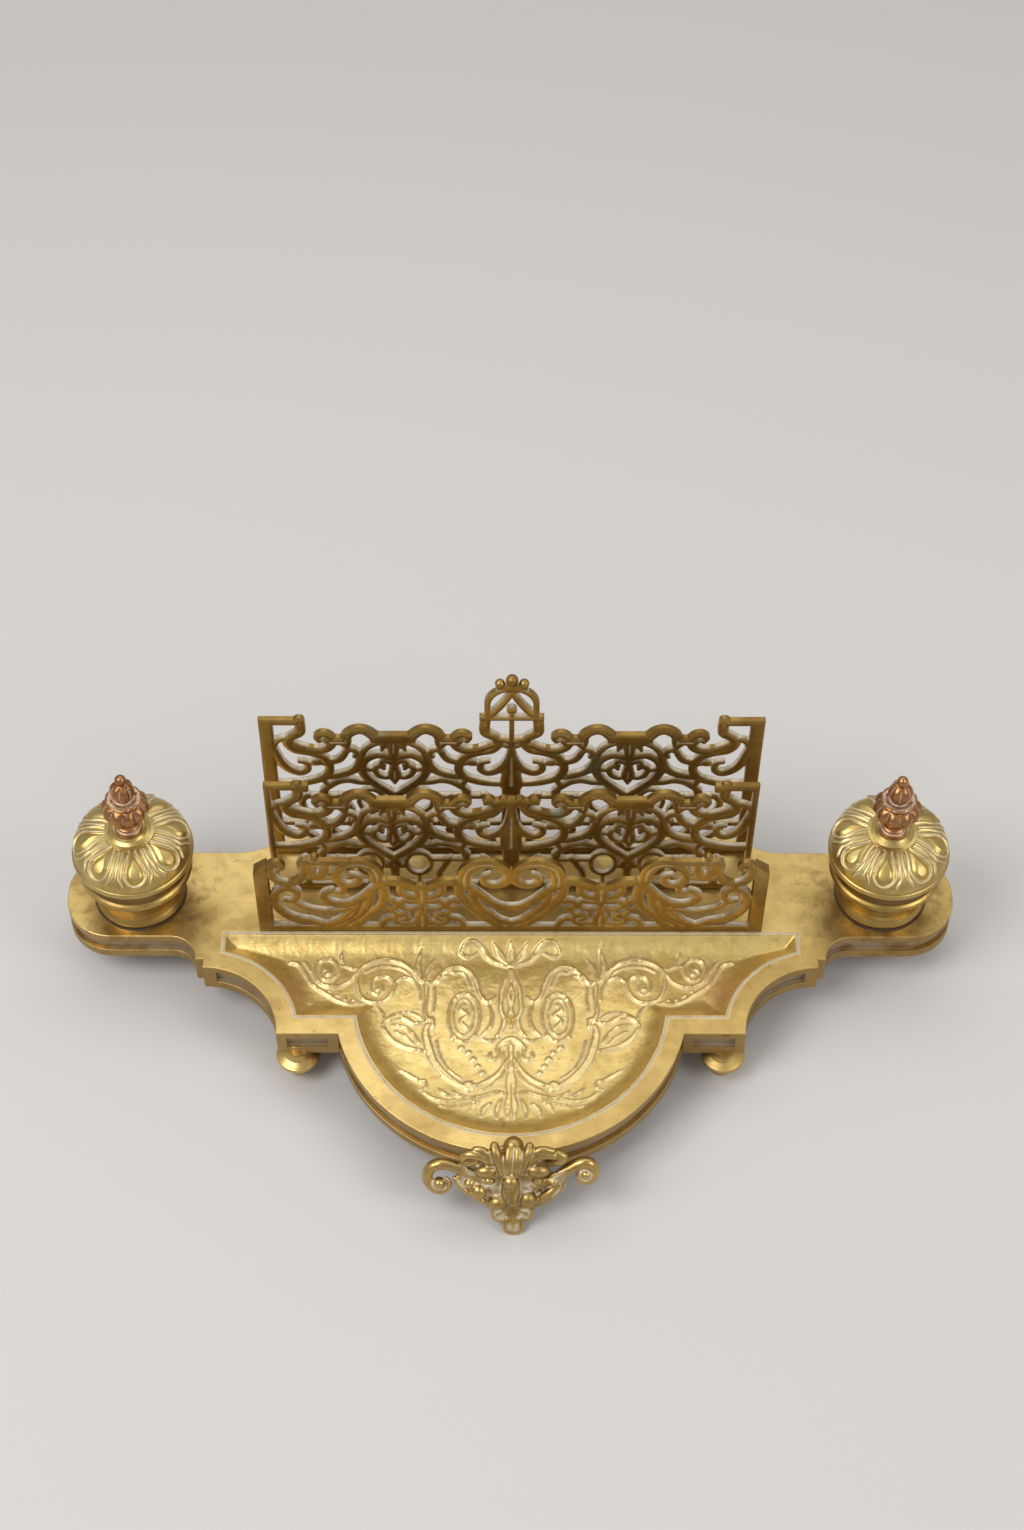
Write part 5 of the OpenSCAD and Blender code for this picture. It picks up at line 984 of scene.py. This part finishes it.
def makeGroup(name, inputs, outputs):
    group = bpy.data.node_groups.new(name, "ShaderNodeTree")
    for label, kind, value in inputs:
        socket = group.interface.new_socket(name=label, in_out="INPUT", socket_type=kind)
        if value is not None:
            socket.default_value = value
    for label, kind in outputs:
        group.interface.new_socket(name=label, in_out="OUTPUT", socket_type=kind)
    start, end = group.nodes.new("NodeGroupInput"), group.nodes.new("NodeGroupOutput")
    return group, start, end


def addNode(tree, kind, values=None, links=None):
    node = tree.nodes.new(kind)
    for key, value in (values or {}).items():
        if hasattr(node, key) and key not in node.inputs:
            setattr(node, key, value)
        else:
            node.inputs[key].default_value = value
    for key, source in (links or {}).items():
        tree.links.new(source, node.inputs[key])
    return node


def addRange(tree, source, fromMin, fromMax, toMin, toMax):
    node = addNode(tree, "ShaderNodeMapRange", {"From Min": fromMin, "From Max": fromMax, "To Min": toMin,
                                                "To Max": toMax}, {"Value": source})
    return node.outputs["Result"]


def addMath(tree, operation, a, b):
    node = tree.nodes.new("ShaderNodeMath")
    node.operation = operation
    for i, value in enumerate((a, b)):
        if isinstance(value, (int, float)):
            node.inputs[i].default_value = value
        else:
            tree.links.new(value, node.inputs[i])
    return node.outputs[0]


def addMix(tree, factor, a, b):
    node = tree.nodes.new("ShaderNodeMix")
    node.data_type = "RGBA"
    for i, value in ((0, factor), (6, a), (7, b)):
        if isinstance(value, (int, float)):
            node.inputs[i].default_value = value
        elif isinstance(value, (tuple, list)):
            node.inputs[i].default_value = (*value, 1)
        else:
            tree.links.new(value, node.inputs[i])
    return node.outputs[2]


def buildTarnish():
    # Soft cloudy patches of tarnish
    group, start, end = makeGroup("tarnish", [("Vector", "NodeSocketVector", None), ("Scale", "NodeSocketFloat", 20.0),
                                              ("Low", "NodeSocketFloat", 0.4), ("High", "NodeSocketFloat", 0.65)],
                                  [("Mask", "NodeSocketFloat")])
    noise = addNode(group, "ShaderNodeTexNoise", {"Detail": 7.0, "Roughness": 0.62, "Distortion": 0.4},
                    {"Vector": start.outputs["Vector"], "Scale": start.outputs["Scale"]})
    spread = addNode(group, "ShaderNodeMapRange", {"interpolation_type": "SMOOTHSTEP"},
                     {"Value": noise.outputs["Fac"], "From Min": start.outputs["Low"],
                      "From Max": start.outputs["High"]})
    group.links.new(spread.outputs["Result"], end.inputs["Mask"])
    return group


def buildPits():
    # Casting pits, scattered where a second noise lets them
    group, start, end = makeGroup("castingPits", [("Vector", "NodeSocketVector", None),
                                                  ("Scale", "NodeSocketFloat", 300.0)], [("Mask", "NodeSocketFloat")])
    cells = addNode(group, "ShaderNodeTexVoronoi", {"Randomness": 1.0},
                    {"Vector": start.outputs["Vector"], "Scale": start.outputs["Scale"]})
    near = addRange(group, cells.outputs["Distance"], 0.05, 0.2, 1.0, 0.0)
    noise = addNode(group, "ShaderNodeTexNoise", {"Detail": 3.0},
                    {"Vector": start.outputs["Vector"],
                     "Scale": addMath(group, "MULTIPLY", start.outputs["Scale"], 0.33)})
    where = addRange(group, noise.outputs["Fac"], 0.56, 0.66, 0.0, 1.0)
    group.links.new(addMath(group, "MULTIPLY", near, where), end.inputs["Mask"])
    return group


def buildScratches():
    # Fine rubbing marks that run mostly along one direction
    group, start, end = makeGroup("rubbingMarks", [("Vector", "NodeSocketVector", None),
                                                   ("Scale", "NodeSocketFloat", 60.0)], [("Mask", "NodeSocketFloat")])
    turned = addNode(group, "ShaderNodeMapping", {"Rotation": (0, 0, 0.35), "Scale": (1.0, 14.0, 9.0)},
                     {"Vector": start.outputs["Vector"]})
    noise = addNode(group, "ShaderNodeTexNoise", {"Detail": 5.0, "Roughness": 0.7},
                    {"Vector": turned.outputs["Vector"], "Scale": start.outputs["Scale"]})
    group.links.new(addRange(group, noise.outputs["Fac"], 0.3, 0.7, 0.0, 1.0), end.inputs["Mask"])
    return group


tarnishGroup, pitsGroup, scratchGroup = buildTarnish(), buildPits(), buildScratches()


def makeMetal(name, look):
    material = bpy.data.materials.new(name)
    material.use_nodes = True
    tree = material.node_tree
    tree.nodes.clear()
    out = tree.nodes.new("ShaderNodeOutputMaterial")
    shader = tree.nodes.new("ShaderNodeBsdfPrincipled")
    tree.links.new(shader.outputs[0], out.inputs["Surface"])
    coord = tree.nodes.new("ShaderNodeTexCoord").outputs["Object"]

    def addMask(group, **values):
        node = tree.nodes.new("ShaderNodeGroup")
        node.node_tree = group
        tree.links.new(coord, node.inputs["Vector"])
        for key, value in values.items():
            node.inputs[key].default_value = value
        return node.outputs["Mask"]

    broad = addMask(tarnishGroup, Scale=look["patchScale"], Low=0.38, High=0.66)
    small = addMask(tarnishGroup, Scale=look["patchScale"] * 7, Low=0.42, High=0.7)
    marks = addMask(scratchGroup, Scale=look.get("markScale", 70.0))
    pits = addMask(pitsGroup, Scale=look.get("pitScale", 420.0))
    recess = addNode(tree, "ShaderNodeAttribute", {"attribute_name": "recess"}).outputs["Fac"]
    colour = addMix(tree, broad, look["bright"], look["tone"])
    colour = addMix(tree, addMath(tree, "MULTIPLY", small, look["spots"]), colour, look["dark"])
    bloom = addMath(tree, "MULTIPLY", recess, addRange(tree, small, 0.0, 1.0, 1.0, 0.45))
    bloom = addMath(tree, "MULTIPLY", bloom, look["bloom"])
    colour = addMix(tree, bloom, colour, look["pale"])
    rub = addNode(tree, "ShaderNodeAttribute", {"attribute_name": "rub"}).outputs["Fac"]
    colour = addMix(tree, addMath(tree, "MULTIPLY", rub, 0.7), colour, look["rubbed"])
    warm = addNode(tree, "ShaderNodeAttribute", {"attribute_name": "warm"}).outputs["Fac"]
    colour = addMix(tree, addMath(tree, "MULTIPLY", addMath(tree, "MULTIPLY", warm, broad), 0.6), colour, look["warm"])
    for x, y, z, near, far, strength in look.get("stains", ()):
        spot = addNode(tree, "ShaderNodeVectorMath", {"operation": "DISTANCE"})
        folded = addNode(tree, "ShaderNodeVectorMath", {"operation": "ABSOLUTE"})
        tree.links.new(coord, folded.inputs[0])
        tree.links.new(folded.outputs["Vector"], spot.inputs[0])
        spot.inputs[1].default_value = (x, y, z)
        held = addRange(tree, spot.outputs["Value"], near, far, strength, 0.0)
        patchy = addRange(tree, small, 0.1, 0.7, 0.25, 1.0)
        colour = addMix(tree, addMath(tree, "MULTIPLY", held, patchy), colour, look["dark"])
    height = addNode(tree, "ShaderNodeSeparateXYZ", None, {"Vector": coord}).outputs["Z"]
    # Painted shade: each height band mixes the colour towards the dark tone, standing in for shade and dark reflections
    # on upright faces
    for low, high, soft, strength in look.get("shadeBands", ()):
        shadeBand = addMath(tree, "MULTIPLY", addRange(tree, height, low - soft, low, 0.0, strength),
                       addRange(tree, height, high, high + soft, 1.0, 0.0))
        colour = addMix(tree, shadeBand, colour, look["dark"])
    green = addNode(tree, "ShaderNodeAttribute", {"attribute_name": "green"}).outputs["Fac"]
    colour = addMix(tree, addMath(tree, "MULTIPLY", addMath(tree, "MULTIPLY", green, small), 0.7), colour,
                    (0.25, 0.42, 0.33))
    colour = addMix(tree, addMath(tree, "MULTIPLY", pits, 0.8), colour, look["pit"])
    tree.links.new(colour, shader.inputs["Base Color"])
    rough = addRange(tree, broad, 0.0, 1.0, look["rough"][0], look["rough"][1])
    rough = addMath(tree, "ADD", rough, addMath(tree, "MULTIPLY", marks, 0.08))
    rough = addMath(tree, "ADD", rough, addMath(tree, "MULTIPLY", bloom, 0.3))
    tree.links.new(rough, shader.inputs["Roughness"])
    tree.links.new(addRange(tree, bloom, 0.0, 1.0, look.get("metal", 1.0), 0.25), shader.inputs["Metallic"])
    relief = addMath(tree, "ADD", addMath(tree, "MULTIPLY", marks, 0.25), addMath(tree, "MULTIPLY", pits, -1.0))
    relief = addMath(tree, "ADD", relief, addMath(tree, "MULTIPLY", small, 0.35))
    bump = addNode(tree, "ShaderNodeBump", {"Strength": look["bump"], "Distance": 0.0002}, {"Height": relief})
    tree.links.new(bump.outputs["Normal"], shader.inputs["Normal"])
    return material


# Its height band is painted shade: it darkens the base's upright side walls and groove below the eased rim, as shade
# and a dark reflection
plateBrass = makeMetal("plate_brass", {
    "bright": (0.69, 0.505, 0.195), "tone": (0.55, 0.385, 0.135), "dark": (0.27, 0.155, 0.05), "pale": (0.46, 0.44, 0.38),
    "rubbed": (0.86, 0.68, 0.34), "warm": (0.66, 0.36, 0.24), "pit": (0.10, 0.05, 0.02), "patchScale": 16.0,
    "spots": 0.3, "bloom": 0.9, "rough": (0.3, 0.42), "bump": 0.35, "shadeBands": [(0.0188, 0.0342, 0.0003, 0.55)],
    "stains": [(0.1756, 0.0646, 0.035, 0.028, 0.046, 0.55)]})
trayBrass = makeMetal("tray_brass", {
    "bright": (0.81, 0.62, 0.24), "tone": (0.67, 0.485, 0.16), "dark": (0.42, 0.27, 0.08), "pale": (0.60, 0.57, 0.48),
    "rubbed": (0.90, 0.74, 0.40), "warm": (0.70, 0.38, 0.26), "pit": (0.12, 0.06, 0.02), "patchScale": 24.0,
    "spots": 0.42, "bloom": 0.85, "rough": (0.28, 0.42), "bump": 0.7, "metal": 0.86})
# Painted shade: the rack's brass is a darker copy of the plate's, standing in for the shade on its upright,
# front-facing panels
rackBrass = makeMetal("rack_brass", {
    "bright": (0.40, 0.26, 0.075), "tone": (0.27, 0.16, 0.04), "dark": (0.13, 0.07, 0.02), "pale": (0.74, 0.69, 0.56),
    "rubbed": (0.72, 0.52, 0.2), "warm": (0.5, 0.25, 0.12), "pit": (0.06, 0.03, 0.01), "patchScale": 30.0,
    "spots": 0.3, "bloom": 1.0, "rough": (0.32, 0.44), "bump": 0.4})
# Its height bands are painted shade: the neck under the lid, a band below the bead ring and a thin line at the foot are
# darkened
wellBrass = makeMetal("well_brass", {
    "bright": (0.50, 0.34, 0.11), "tone": (0.36, 0.23, 0.065), "dark": (0.11, 0.06, 0.02),
    "pale": (0.76, 0.70, 0.54), "rubbed": (0.8, 0.6, 0.26), "warm": (0.5, 0.25, 0.12), "pit": (0.08, 0.04, 0.015),
    "patchScale": 22.0, "spots": 0.15, "bloom": 0.9, "rough": (0.24, 0.36), "bump": 0.3,
    "shadeBands": [(0.0605, 0.0684, 0.0006, 0.75), (0.0445, 0.0535, 0.003, 0.3), (0.0355, 0.0366, 0.0003, 0.85)]})
lidBrass = makeMetal("lid_brass", {
    "bright": (0.60, 0.45, 0.17), "tone": (0.46, 0.32, 0.10), "dark": (0.22, 0.13, 0.04), "pale": (0.80, 0.74, 0.58),
    "rubbed": (0.8, 0.6, 0.26), "warm": (0.5, 0.25, 0.12), "pit": (0.08, 0.04, 0.015), "patchScale": 26.0,
    "spots": 0.2, "bloom": 0.9, "rough": (0.28, 0.4), "bump": 0.35})
# Painted shade: the mask's brass is a copy of the plate's, darkened part way for its leaning front face
maskBrass = makeMetal("mask_brass", {
    "bright": (0.49, 0.335, 0.115), "tone": (0.34, 0.22, 0.065), "dark": (0.17, 0.095, 0.03), "pale": (0.74, 0.68, 0.52),
    "rubbed": (0.74, 0.54, 0.22), "warm": (0.5, 0.25, 0.12), "pit": (0.08, 0.04, 0.015), "patchScale": 40.0,
    "spots": 0.25, "bloom": 0.9, "rough": (0.26, 0.38), "bump": 0.35})
finialCopper = makeMetal("finial_copper", {
    "bright": (0.47, 0.24, 0.10), "tone": (0.30, 0.135, 0.055), "dark": (0.12, 0.05, 0.02), "pale": (0.86, 0.76, 0.64),
    "rubbed": (0.8, 0.45, 0.28), "warm": (0.5, 0.25, 0.12), "pit": (0.08, 0.03, 0.01), "patchScale": 60.0,
    "spots": 0.25, "bloom": 0.9, "rough": (0.24, 0.36), "bump": 0.25})
fixingSteel = makeMetal("fixing_steel", {
    "bright": (0.42, 0.40, 0.37), "tone": (0.30, 0.28, 0.25), "dark": (0.14, 0.09, 0.06), "pale": (0.4, 0.35, 0.3),
    "rubbed": (0.5, 0.48, 0.45), "warm": (0.3, 0.2, 0.15), "pit": (0.05, 0.03, 0.02), "patchScale": 90.0,
    "spots": 0.4, "bloom": 0.5, "rough": (0.35, 0.5), "bump": 0.4})


def makePlain(name, colour, rough, transmission=0.0):
    material = bpy.data.materials.new(name)
    material.use_nodes = True
    tree = material.node_tree
    shader = tree.nodes["Principled BSDF"]
    shader.inputs["Roughness"].default_value = rough
    shader.inputs["Transmission Weight"].default_value = transmission
    coord = tree.nodes.new("ShaderNodeTexCoord").outputs["Object"]
    grain = tree.nodes.new("ShaderNodeGroup")
    grain.node_tree = tarnishGroup
    tree.links.new(coord, grain.inputs["Vector"])
    grain.inputs["Scale"].default_value = 220.0
    tree.links.new(addMix(tree, grain.outputs["Mask"], colour, [c * 0.8 for c in colour]), shader.inputs["Base Color"])
    bump = addNode(tree, "ShaderNodeBump", {"Strength": 0.2, "Distance": 0.0001}, {"Height": grain.outputs["Mask"]})
    tree.links.new(bump.outputs["Normal"], shader.inputs["Normal"])
    return material


clearGlass = makePlain("pot_glass", (0.86, 0.93, 0.92), 0.06, 1.0)
darkLeather = makePlain("washer_leather", (0.075, 0.052, 0.034), 0.7)


def setMaterial(piece, material):
    piece.data.materials.clear()
    piece.data.materials.append(material)


for pieces, metal in (((backPanel, middlePanel, galleryPanel), rackBrass), ((basePiece,), plateBrass),
                      ((trayPiece, beadPiece), trayBrass),
                      (lids, lidBrass), (finials, finialCopper), ((maskPiece,), maskBrass)):
    for piece in pieces:
        setMaterial(piece, metal)
byNode = {"ink_pot": clearGlass, "well_washer": darkLeather, "finial_nut": fixingSteel, "lid_collar": lidBrass,
          "well_nut": fixingSteel, "rack_nuts": fixingSteel, "mask_screws": fixingSteel, "hinge_pin": fixingSteel,
          "foot": plateBrass}
for name, node in nodes.items():
    kind = [k for k in sorted(byNode, key=len, reverse=True) if name.startswith(k)]
    setMaterial(node, byNode[kind[0]] if kind else wellBrass)
print("metals mixed")


# Floor, soft lamps and the camera at the photograph's angle

stageLook = {"floor": (0.60, 0.585, 0.57), "world": (0.62, 0.60, 0.58), "worldStrength": 0.75}

floorBm = bmesh.new()
bmesh.ops.create_grid(floorBm, x_segments=1, y_segments=1, size=6)
floorMesh = bpy.data.meshes.new("floor")
floorBm.to_mesh(floorMesh)
floorBm.free()
floor = bpy.data.objects.new("floor", floorMesh)
bpy.context.scene.collection.objects.link(floor)
floorPaint = bpy.data.materials.new("floor_paint")
floorPaint.use_nodes = True
floorShader = floorPaint.node_tree.nodes["Principled BSDF"]
floorShader.inputs["Base Color"].default_value = (*stageLook["floor"], 1)
floorShader.inputs["Roughness"].default_value = 0.6
setMaterial(floor, floorPaint)

world = bpy.data.worlds.new("studio")
bpy.context.scene.world = world
world.use_nodes = True
world.node_tree.nodes["Background"].inputs["Color"].default_value = (*stageLook["world"], 1)
world.node_tree.nodes["Background"].inputs["Strength"].default_value = stageLook["worldStrength"]


def addLamp(name, spot, target, size, power):
    data = bpy.data.lights.new(name, "AREA")
    data.shape, data.size, data.size_y, data.energy = "RECTANGLE", size[0], size[1], power
    lamp = bpy.data.objects.new(name, data)
    bpy.context.scene.collection.objects.link(lamp)
    lamp.location = spot
    lamp.rotation_mode = "QUATERNION"
    lamp.rotation_quaternion = (Vector(target) - Vector(spot)).to_track_quat("-Z", "Y")


addLamp("key_lamp", (-0.9, -0.5, 1.5), (0, 0, 0.03), (0.9, 0.9), 16)
addLamp("fill_lamp", (1.2, -0.6, 1.1), (0, 0, 0.03), (0.8, 0.8), 7)
addLamp("back_lamp", (0.1, 0.6, 1.3), (0, 0, 0.05), (1.8, 0.6), 5)

lens = {"f": 2600.0, "pitch": 0.912771508, "yaw": -0.0102760978, "roll": 0.00981110713,
        "x": -7.25, "y": -731.295, "z": 1015.217}
cp, sp = math.cos(lens["pitch"]), math.sin(lens["pitch"])
right = Vector((math.cos(lens["yaw"]), math.sin(lens["yaw"]), 0))
ahead = Vector((-math.sin(lens["yaw"]), math.cos(lens["yaw"]), 0))
forward = ahead * cp - Vector((0, 0, 1)) * sp
up = ahead * sp + Vector((0, 0, 1)) * cp
cr, sr = math.cos(lens["roll"]), math.sin(lens["roll"])
side, over = right * cr + up * sr, up * cr - right * sr
cameraData = bpy.data.cameras.new("camera")
cameraData.lens = lens["f"] / 1530 * 36
cameraData.clip_start, cameraData.clip_end = 0.05, 20
camera = bpy.data.objects.new("camera", cameraData)
bpy.context.scene.collection.objects.link(camera)
turn = Matrix((side, over, -forward)).transposed()
camera.matrix_world = Matrix.Translation(
    ((lens["x"]) / 1000, (lens["y"] + place["back"]) / 1000, (lens["z"] + place["top"]) / 1000)) @ turn.to_4x4()
bpy.context.scene.camera = camera
bpy.context.scene.view_settings.view_transform = "Standard"
print("stage set")
